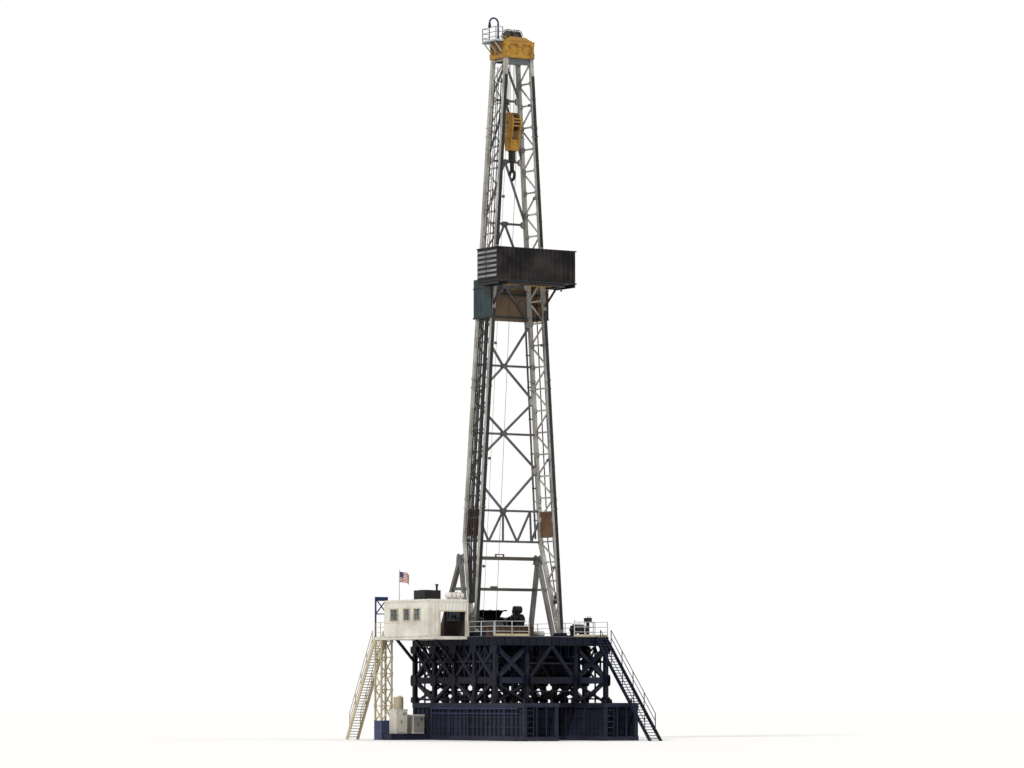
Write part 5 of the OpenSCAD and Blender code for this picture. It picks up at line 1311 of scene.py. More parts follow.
def wrap(shape, x, z, start, end, radius, steps=18):
    """Rope round a sheave from one angle to another, measured from +Y towards +Z."""
    shape.tube(arc(x, 0, z, radius, start, end, steps), LINE_R)


def drilling_ropes():
    """The rope parts between the crown and the block, and their turns round the sheaves."""
    ropes = Shape()
    for x in SHEAVE_XS:
        for y in (-LINE_Y, LINE_Y):
            ropes.tube([(x, y, AXLE_Z), (x, y, SHEAVE_Z)], LINE_R)
    ropes_piece = piece(ropes, "drilling_ropes", ROPE, body=None, smooth=True)
    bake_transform(ropes_piece)
    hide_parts("drilling_lines")

    over = Shape()
    for x in SHEAVE_XS:
        wrap(over, x, SHEAVE_Z, 0, 180, LINE_Y)
    for x, angle in ((FAST_X, 176), (-FAST_X, 181)):
        wrap(over, x, SHEAVE_Z, 40, angle, LINE_Y)
    piece(over, "crown_turns", ROPE, smooth=True)
    under = Shape()
    for x in SHEAVE_XS:
        wrap(under, x, AXLE_Z, 180, 360, LINE_Y)
    piece(under, "block_turns", ROPE, body=BLOCK, smooth=True)


def end_lines():
    """The fast line to the drum and the dead line to its anchor."""
    low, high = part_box("mast_lines")
    drum = off(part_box("drawworks_drum")[0], y=FLANGE_R, z=FLANGE_R)
    lines = Shape()
    lines.tube([(FAST_X, -LINE_Y - 0.002, SHEAVE_Z),
                (FAST_X, drum.y - BARREL_R - 0.0085, drum.z)], LINE_R)
    anchor = Vector((low.x + 0.006, MAST_FRONT_Y + 0.12, FLOOR_Z + 0.264))
    lines.tube([(-FAST_X, -LINE_Y - 0.002, SHEAVE_Z), anchor], 0.006)
    turns = Shape()
    for k in range(4):
        turns.band((anchor.x, MAST_FRONT_Y + 0.06 + k * 0.03, FLOOR_Z + 0.16), Y,
                   hoop(0.1, 0.11, 0.012, 0.006), 24)
    holder = piece(lines, "end_lines", ROPE, smooth=True)
    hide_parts("mast_lines")
    piece(turns, "anchor_turns", ROPE, smooth=True)


def sheave_faces(name, z, xs, body):
    """Rims and hubs on the outer faces of one cluster of sheaves, with black discs as painted
    shade for the web holes.
    """
    parts = Shape()
    dark = Shape()
    for x, way in ((min(xs) - 0.024, -1), (max(xs) + 0.024, 1)):
        axis = (way, 0, 0)
        parts.band((x, 0, z), axis, [(SHEAVE_R - 0.004, 0), (SHEAVE_R - 0.01, 0.004),
                                     (SHEAVE_R - 0.045, 0.004), (SHEAVE_R - 0.05, 0)], 48)
        parts.band((x, 0, z), axis, [(0.118, 0), (0.115, 0.003), (0.085, 0.003), (0.082, 0)], 32)
        for u, v in round_about(8, 0.185, 0.5):
            # Black discs in the rings: painted shade standing for the web holes.
            dark.lathe((x, u, z + v), axis, [(0.03, 0.0006), (0.03, 0.0022)], 16)
            parts.band((x, u, z + v), axis, [(0.038, 0), (0.036, 0.003), (0.031, 0.003),
                                             (0.031, 0)], 16)
    piece(parts, name + "_rims", CAST, body=body, smooth=True)
    piece(dark, name + "_web_hole_shade", BLACK, body=body)


def crown_details():
    """Gussets and bolts on the crown frame, and webs between its flanges."""
    plates = Shape()
    for way in (-1, 1):
        for x in (-HALF_W + 0.1, 0, HALF_W - 0.1):
            for z, low, high in ((CROWN_Z + 0.13, CROWN_Z + 0.016, 1e9),
                                 (CROWN_TOP - 0.11, -1e9, CROWN_TOP - 0.016)):
                gusset(plates, (x, way * (HALF_L + 0.004), z), 1, 0.09 if x else 0.12, 0.1, low,
                       high, thick=0.01)
        for y in both(HALF_L - 0.1):
            gusset(plates, (way * (HALF_W + 0.004), y, CROWN_Z + 0.13), 0, 0.09, 0.1,
                   CROWN_Z + 0.016, thick=0.01)
    for z in (CROWN_Z + 0.004, CROWN_Z + 0.134, CROWN_TOP - 0.124, CROWN_TOP - 0.014):
        plates.ribs_y((-HALF_L, HALF_L), 0.008, -HALF_W - 0.008, HALF_W + 0.008, z, z + 0.012)
        plates.ribs_x((-HALF_W, HALF_W), 0.008, -HALF_L, HALF_L, z, z + 0.012)
    piece(plates, "crown_gussets", OCHRE)

    webs = Shape()
    y, x = HALF_L - 0.05, HALF_W - 0.05
    span = (CROWN_Z + 0.145, CROWN_TOP - 0.125)
    webs.ribs_y((-y, y), 0.004, -x, x, *span)
    webs.ribs_x((-x, x), 0.004, -y, y, *span)
    for way in (-1, 1):
        webs.ribs_x(both(0.16, 0.42), 0.006, way * y - 0.022, way * y + 0.022, *span)
        webs.ribs_y(both(0.12, 0.4), 0.006, way * x - 0.022, way * x + 0.022, *span)
    piece(webs, "crown_webs", OCHRE)


def sheave_guards():
    """Straps round the crown sheaves and ribs on their sloped guards."""
    guards = Shape()
    end, radius = FAST_X + 0.032, 0.345
    for x in (-end, -0.157, 0.157, end):
        guards.tube(arc(x, 0, SHEAVE_Z, radius, 8, 172, 20), 0.012)
    for _, y, z in arc(0, 0, SHEAVE_Z, radius, 40, 140, 4):
        guards.tube([(-end, y, z), (end, y, z)], 0.01)
    piece(guards, "sheave_straps", BLACK, smooth=True)

    hoods = Shape()
    low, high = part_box("sheave_guards")
    wide, narrow = high.x, FAST_X + 0.095
    for way in (-1, 1):
        foot, head = way * (high.y + 0.002), way * 0.37
        for x0, x1 in ((wide, narrow), (wide * 0.5, FAST_X * 0.6)):
            for side in (-1, 1):
                hoods.bar((side * (x0 - 0.015), foot, low.z + 0.004),
                          (side * (x1 - 0.012), head, high.z - 0.004), 0.03, 0.02, across=X)
        hoods.bar((-0.015, foot, low.z + 0.004), (-0.012, head, high.z - 0.004), 0.03, 0.02,
                  across=X)
        for half, y, z in ((wide - 0.01, foot - way * 0.002, low.z + 0.02),
                           (narrow - 0.01, head - way * 0.002, high.z - 0.012)):
            hoods.bar((-half, y, z), (half, y, z), 0.03, 0.02)
    piece(hoods, "guard_ribs", OCHRE, bevel=0.003)


def crown_platform():
    """Grating, kick plates and lamp of the crown platform."""
    low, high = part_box("crown_platform")
    deck_z = CROWN_TOP - 0.03
    grate = Shape()
    grate.ribs_x(spread(9, low.x + 0.02, -HALF_W - 0.02), 0.004, low.y + 0.02, high.y - 0.02,
                 deck_z, deck_z + 0.008)
    grate.ribs_y(spread(18, low.y + 0.03, high.y - 0.03), 0.003, low.x + 0.01, -HALF_W - 0.01,
                 deck_z, deck_z + 0.007)
    piece(grate, "crown_grating", DECK)
    kick = Shape()
    kick.box((low.x + 0.008, low.y + 0.01, deck_z), (low.x + 0.014, high.y - 0.01, deck_z + 0.07))
    kick.ribs_y((low.y + 0.013, high.y - 0.013), 0.003, low.x + 0.01, -HALF_W, deck_z,
                deck_z + 0.07)
    for y in (low.y + 0.12, (low.y + high.y) / 2, high.y - 0.12):
        kick.bar((-HALF_W - 0.005, y, CROWN_TOP - 0.4), (low.x + 0.04, y, CROWN_TOP - 0.075),
                 0.035)
    piece(kick, "crown_kick_plates", RAIL_GREY)

    lamp = Shape()
    p = Vector((HALF_W - 0.06, HALF_L - 0.06, CROWN_TOP))
    lamp.tube([p, off(p, z=0.42)], 0.014, 10)
    lamp.lathe(off(p, z=0.46), Z, [(0.03, -0.05), (0.034, -0.03), (0.034, 0.02),
                                   (0.02, 0.045), (0.004, 0.05)], 16)
    piece(lamp, "crown_lamp", BLACK, smooth=True)


def davit_details():
    """Collars on the davit and the small hoist at its tip."""
    low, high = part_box("crown_davit")
    y = (low.y + high.y) / 2
    tip = Vector((low.x + 0.034, y, CROWN_TOP + 0.63))
    hoist = Shape()
    hoist.lathe(tip, Z, [(0.036, 0.05), (0.046, 0.04), (0.046, 0.0), (0.036, -0.012)], 20)
    hoist.brick(off(tip, z=-0.07), 0.035, 0.045, 0.06)
    for way in (-1, 1):
        hoist.drum(off(tip, y=way * 0.048, z=-0.07), Y, 0.04, 0.016, 20, 0.003)
    piece(hoist, "davit_hoist", BLACK, body="davit", smooth=True)
    rings = Shape()
    for z in (0.182, 0.42, 0.64):
        rings.lathe((high.x - 0.056, y, CROWN_TOP + z), Z, hoop(0.034, 0.042, 0.016, 0.012), 24)
    piece(rings, "davit_collars", PORTAL_BLUE, body="davit", smooth=True)


def block_details():
    """Rims, bolts, axle caps, tie plates, holes and guards of the travelling block; the holes are
    black discs, as painted shade.
    """
    parts = Shape()
    dark = Shape()
    guard = Shape()
    cheek, cheek_r, low, foot = BLOCK_HIGH.x, BLOCK_HIGH.y, BLOCK_LOW.z, 0.17
    for way in (-1, 1):
        x, axis = way * cheek, (way, 0, 0)
        rim = arc(x, 0, AXLE_Z, cheek_r - 0.018, -4, 176, 20)
        parts.tube([(x, foot - 0.016, low + 0.02)] + rim + [(x, -foot + 0.016, low + 0.02)], 0.012)
        parts.band((x, 0, AXLE_Z), axis, [(0.125, -0.002), (0.12, 0.006), (0.06, 0.006)], 32)
        for u, v in round_about(8, 0.095):
            parts.bolt((x + way * 0.006, u, AXLE_Z + v), axis, 0.013, 0.012)
        for y in (-0.12, 0.12):
            parts.drum((x + way * 0.004, y, AXLE_Z + 0.335), X, 0.034, 0.024, 6)
            for z in (0.1, 0.22, 0.34):
                parts.bolt((x, y, low + z), axis, 0.016, 0.014)
        parts.bar((x + way * 0.002, -0.2, low + 0.47), (x + way * 0.002, 0.2, low + 0.47),
                  0.03, 0.012)
        for z in (0.06, 0.21, 0.36):
            parts.brick((0, way * (foot + 0.007), low + z), cheek - 0.03, 0.006, 0.012)
        # Black discs: painted shade standing for holes in the cheeks.
        for _, y, z in arc(x, 0, AXLE_Z, cheek_r - 0.085, 20, 160, 6):
            dark.lathe((x, y, z), axis, [(0.02, 0.0005), (0.02, 0.002)], 16)
        for z in (-0.02, 0.1, -0.16):
            reach = math.sqrt(cheek_r ** 2 - z * z) if z > 0 else cheek_r - 0.01 + z * 0.12
            guard.brick((0, way * (reach - 0.006), AXLE_Z + z), cheek - 0.02, 0.006, 0.02)
    piece(parts, "block_fittings", OCHRE, body=BLOCK, smooth=True)
    piece(dark, "block_hole_shade", BLACK, body=BLOCK)
    piece(guard, "block_guards", OCHRE, body=BLOCK)


def hook_details():
    """Rings, bolts and the latch of the hook."""
    top = BLOCK_LOW.z
    rings = Shape()
    for z in (-0.03, -0.14, -0.25, -0.36):
        rings.band((0, 0, top + z), Z, hoop(0.134, 0.146, 0.02, 0.014), 36)
    for u, v in round_about(10, 0.146):
        rings.bolt((u, v, top - 0.03), (u, v, 0), 0.012, 0.01)
    for z in (-0.47, -0.56):
        rings.band((0, 0, top + z), Z, hoop(0.079, 0.092, 0.018, 0.012), 28)
    piece(rings, "hook_rings", CAST, "hook", smooth=True)
    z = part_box("block_hook")[0].z + 0.228
    latch = Shape()
    latch.bar((0, -0.165, z + 0.02), (0, -0.055, z + 0.165), 0.045, 0.02, across=X)
    latch.drum((0, -0.055, z + 0.165), X, 0.028, 0.09, 14, 0.004)
    piece(latch, "hook_latch", CAST, "hook", smooth=True)


drilling_ropes()
end_lines()
sheave_faces("crown", SHEAVE_Z, SHEAVE_XS, "crown_sheaves")
crown_details()
sheave_guards()
crown_platform()
davit_details()
block_details()
hook_details()

# Places of the floor machinery
SKID_LOW, SKID_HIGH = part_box("drawworks_skid")
DRAW_X = (SKID_LOW.x + SKID_HIGH.x) / 2
SKID_TOP = FLOOR_Z + 0.42
DRUM_Y, DRUM_Z = 1.73, SKID_TOP - 0.02
DRUM_HALF = 0.52
GUARD_R, GUARD_Z, GUARD_HALF = 0.43, SKID_TOP + 0.18, 0.69
MOTOR_XS = (DRAW_X - 1.25, DRAW_X + 1.08)
MOTOR_Y, MOTOR_Z, MOTOR_R, MOTOR_HALF = 1.52, SKID_TOP + 0.25, 0.22, 0.23
FAN_Z, FAN_R = SKID_TOP + 0.64, 0.14
GEAR_Y = 2.31


def arc_strip(shape, x, half, y, z, inner, outer, start, end, steps=16):
    """A curved strap about X between two radii, angles measured from +Y towards +Z."""
    pairs = zip(arc(0, y, z, inner, start, end, steps), arc(0, y, z, outer, start, end, steps))
    points = [(x + side * half, v, w) for pair in pairs for _, v, w in pair for side in (-1, 1)]
    faces = []
    for b in range(0, 4 * steps, 4):
        n = b + 4
        faces += [(b, b + 1, n + 1, n), (b + 2, n + 2, n + 3, b + 3), (b, n, n + 2, b + 2),
                  (b + 1, b + 3, n + 3, n + 1)]
    last = 4 * steps
    faces += [(0, 2, 3, 1), (last, last + 1, last + 3, last + 2)]
    shape.add(points, faces)


def hull_outline(circles, steps=24):
    """The outline round some circles given as (u, v, radius)."""
    points = sorted({(u + du, v + dv) for u, v, r in circles for du, dv in round_about(steps, r)})
    halves = []
    for line in (points, points[::-1]):
        half = []
        for p in line:
            while len(half) > 1 and ((half[-1][0] - half[-2][0]) * (p[1] - half[-2][1])
                                     - (half[-1][1] - half[-2][1]) * (p[0] - half[-2][0])) <= 0:
                half.pop()
            half.append(p)
        halves += half[:-1]
    return halves


def grooved(shape, centre, radius, half, pitch, sides):
    """Rope wound side by side on a drum about X."""
    count = int(2 * half / pitch)
    start = -count * pitch / 2
    profile = [(radius + lift * pitch * 0.5, start + (i + part) * pitch) for i in range(count)
               for part, lift in ((0.0, 0.0), (0.18, 0.72), (0.5, 1.0), (0.82, 0.72))]
    shape.band(centre, X, profile, sides)


def drawworks_details():
    """Rope on the drum, brake straps, bearings, guard ribs and chain case."""
    drum = Vector((DRAW_X, DRUM_Y, DRUM_Z))
    rope = Shape()
    grooved(rope, drum, BARREL_R + 0.0005, DRUM_HALF - 0.055, 0.017, 36)
    piece(rope, "drum_rope", ROPE, smooth=True)

    iron = Shape()
    for side in (-1, 1):
        x = DRAW_X + side * (DRUM_HALF - 0.025)
        iron.band((x, DRUM_Y, DRUM_Z), X, hoop(FLANGE_R - 0.02, FLANGE_R + 0.006, 0.032, 0.032),
                  48)
        arc_strip(iron, x, 0.022, DRUM_Y, DRUM_Z, FLANGE_R + 0.008, FLANGE_R + 0.02, -20, 200, 30)
        for start, end in zip(arc(x, DRUM_Y, DRUM_Z, 0.355, -20, 200, 1),
                              arc(x, DRUM_Y, DRUM_Z, 0.405, -20, 200, 1)):
            iron.bar(start, end, 0.05)
        x = DRAW_X + side * 0.67
        arc_strip(iron, x, 0.045, DRUM_Y, DRUM_Z, 0.092, 0.15, 0, 180)
        for y in (DRUM_Y - 0.175, DRUM_Y + 0.175):
            iron.brick((x, y, DRUM_Z + 0.0175), 0.045, 0.035, 0.0175)
            iron.bolt((x, y, DRUM_Z + 0.035), Z, 0.018, 0.022)
    piece(iron, "drum_brakes", CAST, smooth=True)

    guard = Shape()
    inner, outer = GUARD_R - 0.001, GUARD_R + 0.022
    for u in (-GUARD_HALF + 0.02, -0.35, 0.0, 0.35, GUARD_HALF - 0.02):
        arc_strip(guard, DRAW_X + u, 0.018, DRUM_Y, GUARD_Z, inner, outer, 0, 102, 20)
        guard.ribs_x([DRAW_X + u], 0.018, DRUM_Y + inner, DRUM_Y + outer, SKID_TOP + 0.001,
                     GUARD_Z + 0.002)
    lip = arc(DRAW_X, DRUM_Y, GUARD_Z, 0.425, 103, 103, 1)[0]
    guard.bar(off(lip, -GUARD_HALF), off(lip, GUARD_HALF), 0.035)
    outline = hull_outline(((DRUM_Y, DRUM_Z, 0.18), (MOTOR_Y, MOTOR_Z, 0.13)))
    guard.plates_x([DRAW_X + 0.745], outline, 0.085)
    guard.plates_x([DRAW_X + 0.745], [(mix(1.62, u, 1.05), mix(DRUM_Z + 0.12, v, 1.05))
                                      for u, v in outline], 0.012)
    piece(guard, "drum_guard_ribs", BLACK, bevel=0.003)


def motor_details():
    """Fins, bolts, boxes and blowers on the two motors of the drawworks."""
    motors = Shape()
    for x in MOTOR_XS:
        place = Vector((x, MOTOR_Y, MOTOR_Z))
        fan = Vector((x, MOTOR_Y, FAN_Z))
        for i in range(9):
            motors.band(off(place, 0.055 - MOTOR_HALF + i * 0.044), X,
                        hoop(MOTOR_R - 0.004, MOTOR_R + 0.012, 0.006, 0.004), 40)
        for way in (-1, 1):
            axis = (way, 0, 0)
            for u, v in round_about(8, 0.185, 0.5):
                motors.bolt(off(place, way * (MOTOR_HALF - 0.004), u, v), axis, 0.012, 0.014)
            for r in (0.045, 0.075, 0.105):
                motors.band(off(fan, way * FAN_R), axis, collar(r, r + 0.008, 0, 0.01), 24)
            hub = off(fan, way * (FAN_R + 0.007))
            for u, v in round_about(6, 0.118)[:3]:
                motors.bar(off(hub, 0, -u, -v), off(hub, 0, u, v), 0.01, 0.008)
        motors.bolts((x - 0.22, x + 0.22), (MOTOR_Y - 0.26, MOTOR_Y + 0.25), SKID_TOP + 0.04,
                     0.016, 0.02)
        motors.box(off(place, -0.11, -MOTOR_R - 0.085, -0.06),
                   off(place, 0.11, 0.02 - MOTOR_R, 0.1))
        motors.box(off(place, -0.09, 0.07, MOTOR_R - 0.03), off(place, 0.09, 0.19, MOTOR_R + 0.12))
        motors.drum(fan, X, FAN_R + 0.006, 0.05, 32, 0.004)
        motors.box(off(fan, -0.12, -0.02, -0.145), off(fan, 0.12, 0.2, -0.02))
    piece(motors, "motor_fittings", BLACK, smooth=True)


def gear_details():
    """Ribs, lids and bolts of the gear cases."""
    gears = Shape()
    for x0, x1, top in ((-1.3, -0.5, 0.42), (0.3, 1.2, 0.36)):
        x0, x1, top = DRAW_X + x0, DRAW_X + x1, SKID_TOP + top
        ribs = spread(5, x0 + 0.03, x1 - 0.03)
        gears.ribs_x(ribs, 0.008, GEAR_Y - 0.135, GEAR_Y + 0.145, SKID_TOP + 0.06,
                     SKID_TOP + 0.15)
        for x in ribs:
            arc_strip(gears, x, 0.008, GEAR_Y, top - 0.13, 0.128, 0.142, -10, 190, 14)
        gears.box((x0 - 0.012, GEAR_Y - 0.142, SKID_TOP + 0.15),
                  (x1 + 0.012, GEAR_Y + 0.142, SKID_TOP + 0.168))
        gears.drum((mix(x0, x1, 0.3), GEAR_Y, top + 0.02), Z, 0.028, 0.07, 16, 0.006)
        gears.drum((x0 - 0.02, GEAR_Y, top - 0.13), X, 0.06, 0.05, 24, 0.005)
    gears.bolts(spread(9, DRAW_X - 0.42, DRAW_X + 0.24), [GEAR_Y - 0.1], SKID_TOP + 0.06, 0.012,
                0.014)
    shaft = Vector((DRAW_X, GEAR_Y + 0.03, SKID_TOP + 0.1))
    gears.tube([off(shaft, -0.45), off(shaft, 0.28)], 0.022, 10)
    piece(gears, "gear_case_fittings", BLACK, smooth=True)


def skid_details():
    """Ribs, flanges and lifting ears of the drawworks skid."""
    skid = Shape()
    for y, way in ((SKID_LOW.y, -1), (SKID_HIGH.y, 1)):
        skid.ribs_x(spread(14, SKID_LOW.x + 0.08, SKID_HIGH.x - 0.08), 0.007, y - way * 0.002,
                    y + way * 0.03, FLOOR_Z + 0.02, SKID_TOP - 0.02)
        for z0, z1 in ((SKID_TOP - 0.02, SKID_TOP + 0.004), (FLOOR_Z + 0.001, FLOOR_Z + 0.022)):
            skid.box((SKID_LOW.x, y - way * 0.06, z0), (SKID_HIGH.x, y + way * 0.034, z1))
    for x, way in ((SKID_LOW.x, -1), (SKID_HIGH.x, 1)):
        skid.plates_y((1.45, 2.22), [(x + way * u, FLOOR_Z + v) for u, v in (
            (-0.01, 0.24), (0.09, 0.24), (0.11, 0.3), (0.09, 0.37), (-0.01, 0.4))], 0.03)
    piece(skid, "skid_ribs", SKID_BROWN, bevel=0.002)


def hoist_fittings():
    """Rope, brake, levers and post of the air hoist."""
    hoist = Vector((1.78, -1.75, FLOOR_Z + 0.26))
    rope = Shape()
    grooved(rope, hoist, 0.128, 0.132, 0.012, 32)
    piece(rope, "hoist_rope", ROPE, smooth=True)
    parts = Shape()
    for x in (-0.15, 0.15):
        parts.band(off(hoist, x), X, hoop(0.175, 0.196, 0.02, 0.018), 36)
    parts.drum(off(hoist, 0.31), X, 0.105, 0.16, 28, 0.02)
    parts.drum(off(hoist, -0.29), X, 0.085, 0.12, 28, 0.02)
    for y, z in round_about(5, 0.07):
        parts.tube([off(hoist, 0.31, y, z), off(hoist, 0.4, y, z)], 0.022, 10)
    arc_strip(parts, hoist.x, 0.13, hoist.y, hoist.z, 0.205, 0.212, 20, 160)
    for x in (-0.22, 0.22):
        parts.bar(off(hoist, x, z=0.14), off(hoist, x, z=0.21), 0.04)
    parts.tube([off(hoist, -0.27, y, z) for y, z in ((-0.1, 0.02), (-0.16, 0.18),
                                                     (-0.19, 0.36))], 0.011)
    parts.bolts((hoist.x - 0.26, hoist.x + 0.26), (hoist.y - 0.19, hoist.y + 0.19),
                FLOOR_Z + 0.06, 0.014, 0.018)
    post = Vector((2.225, -1.75, FLOOR_Z))
    for z in (0.584, 0.614, 0.644, 0.674):
        parts.brick(off(post, 0, -0.112, z), 0.085, 0.004, 0.005)
    parts.brick(off(post, z=0.705), 0.115, 0.12, 0.007)
    for x in (-0.06, 0.0, 0.06):
        parts.tube([off(post, x, -0.06, 0.7), off(post, x, -0.08, 0.78)], 0.008)
    piece(parts, "hoist_fittings", BLACK, smooth=True)


def floor_fittings():
    """Fittings of the rotary table, seams of the floor plates and a small tank."""
    rotary = Shape()
    for x, y in round_about(4, 0.265, 0.5):
        rotary.drum((x, y, FLOOR_Z + 0.028), Z, 0.034, 0.012, 16, 0.003)
    rotary.band((0, 0, FLOOR_Z + 0.025), Z, collar(0.2, 0.176, -0.002, 0.006), 48)
    rotary.bolts((-0.36, 0.36), (-0.47, -0.16, 0.16, 0.47), FLOOR_Z, 0.018, 0.016)
    piece(rotary, "rotary_fittings", CAST, smooth=True)

    seams = Shape()
    span = (FLOOR_Z - 0.001, FLOOR_Z + 0.003)
    for x0, x1 in ((-OUT + 0.03, -0.42), (0.42, OUT - 0.05)):
        seams.ribs_y((-1.75, -0.85, 0.85, 1.75), 0.006, x0, x1, *span)
    seams.ribs_x((-1.55, -0.62, 0.62, 1.55), 0.006, FRONT + 0.06, REAR - 0.06, *span)
    piece(seams, "floor_seams", BLACK)

    tank = Shape()
    place = Vector((2.22, 1.55, FLOOR_Z + 0.155))
    end = [(0.02, 0.3), (0.07, 0.285), (0.105, 0.25), (0.12, 0.21)]
    tank.lathe(place, Y, [(r, -u) for r, u in end] + end[::-1], 28)
    for y in (-0.16, 0.16):
        tank.brick(off(place, 0, y, -0.1125), 0.1, 0.02, 0.0425)
        tank.band(off(place, 0, y), Y, hoop(0.119, 0.124, 0.015, 0.012), 28)
    tank.tube([off(place, 0, 0.05, 0.11), off(place, 0, 0.05, 0.17)], 0.014)
    piece(tank, "small_air_tank", RAIL_GREY, smooth=True)


STAIR_STEPS = 36


def stair_details(name, treads, material):
    """Nosings and grating bars on the treads of one flight."""
    low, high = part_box(treads)
    parts = Shape()
    way, head, run = (-1, high.y - 0.01, 3.55) if low.y < 0 else (1, low.y, 2.05)
    for i in range(STAIR_STEPS):
        z = FLOOR_Z * (1 - (i + 1) / (STAIR_STEPS + 1))
        y = head + way * run * i / (STAIR_STEPS + 1)
        parts.ribs_y(spread(4, y + way * 0.012, y + way * 0.098), 0.005, low.x + 0.004,
                     high.x - 0.004, z - 0.001, z + 0.005)
        parts.ribs_y([y + way * 0.11], 0.006, low.x + 0.002, high.x - 0.002, z - 0.022, z + 0.006)
    piece(parts, name, material)


def tower_fittings():
    """Blue plates round the foot of the stair tower and plates at its joints."""
    low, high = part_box("stair_tower")
    tower = Shape()
    tower.ribs_x((low.x, high.x), 0.006, low.y + 0.004, high.y - 0.004, 0.004, 0.71)
    tower.ribs_y((low.y, high.y), 0.006, low.x + 0.004, high.x - 0.004, 0.004, 0.71)
    for out, z0, z1 in ((0.014, 0.7, 0.722), (0.03, 0.0, 0.016), (0.012, 0.24, 0.26),
                        (0.012, 0.47, 0.49)):
        tower.box((low.x - out, low.y - out, z0), (high.x + out, high.y + out, z1))
    piece(tower, "tower_foot_plates", PORTAL_BLUE, bevel=0.003)
    knots = Shape()
    for z in spread(5, 1.26, 3.66):
        for x in (low.x + 0.03, high.x - 0.03):
            for y in (low.y + 0.03, high.y - 0.03):
                knots.plates_x((x - 0.034, x + 0.034), twin(y, (0.05, z - 0.07), (0.05, z + 0.07)),
                               0.006)
    piece(knots, "tower_knots", CREAM)


# Corners of the two boxes on the side skid, and the foot of the tan tank
CABINET_BOX = (Vector((-3.89, 1.87, 0.24)), Vector((-3.41, 2.37, 1.11)))
METER_BOX = (Vector((-3.14, 1.9, 0.24)), Vector((-2.66, 2.34, 0.91)))
TAN_TANK = Vector((-3.65, 2.12, 1.14))


def cabinet_fittings():
    """Doors, hinges, handles and vents of the cabinet and the meter box, and tank hoops."""
    dark = Shape()
    for name, material, (c0, c1) in (("cabinet_doors", CABINET, CABINET_BOX),
                                     ("meter_box_doors", METER_GREY, METER_BOX)):
        doors = Shape()
        mid = (c0 + c1) / 2
        for y, way in ((c0.y, -1), (c1.y, 1)):
            for x0, x1, hinge in ((c0.x + 0.025, mid.x - 0.004, c0.x + 0.031),
                                  (mid.x + 0.004, c1.x - 0.025, c1.x - 0.031)):
                doors.box((x0, y - way * 0.001, c0.z + 0.05), (x1, y + way * 0.01, c1.z - 0.02))
                for z in (c0.z + 0.14, c1.z - 0.12):
                    dark.drum((hinge, y + way * 0.014, z), Z, 0.008, 0.05, 10)
            dark.box((mid.x - 0.035, y + way * 0.01, mid.z - 0.05),
                     (mid.x - 0.018, y + way * 0.024, mid.z + 0.05))
            for k in range(5):
                z = c1.z - 0.1 - k * 0.022
                dark.box((mid.x + 0.04, y + way * 0.009, z),
                         (c1.x - 0.06, y + way * 0.014, z + 0.008))
        for x, way in ((c0.x, -1), (c1.x, 1)):
            doors.box((x - way * 0.001, c0.y + 0.03, c0.z + 0.05),
                      (x + way * 0.008, c1.y - 0.03, c1.z - 0.03))
        piece(doors, name, material, bevel=0.003)
    piece(dark, "cabinet_hardware", BLACK)

    hoops = Shape()
    hoops.band(TAN_TANK, Z, [(0.1805, 0.0), (0.183, 0.01), (0.183, 0.43), (0.1805, 0.452)], 40)
    for z in (0.06, 0.17, 0.28, 0.39):
        hoops.band(off(TAN_TANK, z=z), Z, hoop(0.182, 0.192, 0.012, 0.006), 40)
    hoops.tube([off(TAN_TANK, x, 0, z) for x, z in ((0.2, 0.02), (0.205, 0.3), (0.16, 0.46),
                                                    (0.05, 0.5))], 0.014)
    piece(hoops, "tank_hoops", TANK_TAN, smooth=True)


def side_skid_edges():
    """Flanges and ribs on the long sides of the side skid."""
    low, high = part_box("side_skid")
    edge = Shape()
    for y, way in ((low.y, -1), (high.y, 1)):
        y0, y1 = y - way * 0.002, y + way * 0.012
        edge.box((low.x, y0, 0.19), (high.x - 0.02, y1, 0.236))
        edge.box((low.x, y0, 0.0), (high.x - 0.02, y1, 0.03))
        edge.ribs_x(spread(9, low.x + 0.05, high.x - 0.08), 0.006, y0, y1, 0.02, 0.2)
    piece(edge, "side_skid_edges", NAVY)


def base_ends():
    """End frames with a rung ladder on the front of the base boxes."""
    ends = Shape()
    for side in (-1, 1):
        x0, x1 = sorted((side * (GAP + 0.01), side * (OUT - 0.01)))
        for z0, z1 in ((0.02, 0.13), (BASE_H - 0.12, BASE_H - 0.01)):
            ends.ribs_y((BASE_FRONT + 0.012, REAR - 0.012), 0.01, x0, x1, z0, z1)
        y = BASE_FRONT + 0.03
        for z in spread(5, 0.27, 1.11):
            ends.tube([(x0 + 0.1, y, z), (x0 + 0.42, y, z)], 0.012)
        ends.ribs_x((x0 + 0.11, x0 + 0.41), 0.012, y - 0.014, y + 0.014, 0.1, BASE_H - 0.04)
        ends.ribs_x(spread(3, x0 + 0.55, x1 - 0.12), 0.02, y - 0.026, y, 0.1, BASE_H - 0.1)
        ends.ribs_y(spread(24, BASE_FRONT + 0.12, FRONT - 0.1), 0.008, x0 + 0.15, x1 - 0.15,
                    BASE_H - 0.03, BASE_H - 0.006)
    piece(ends, "base_end_frames", NAVY)


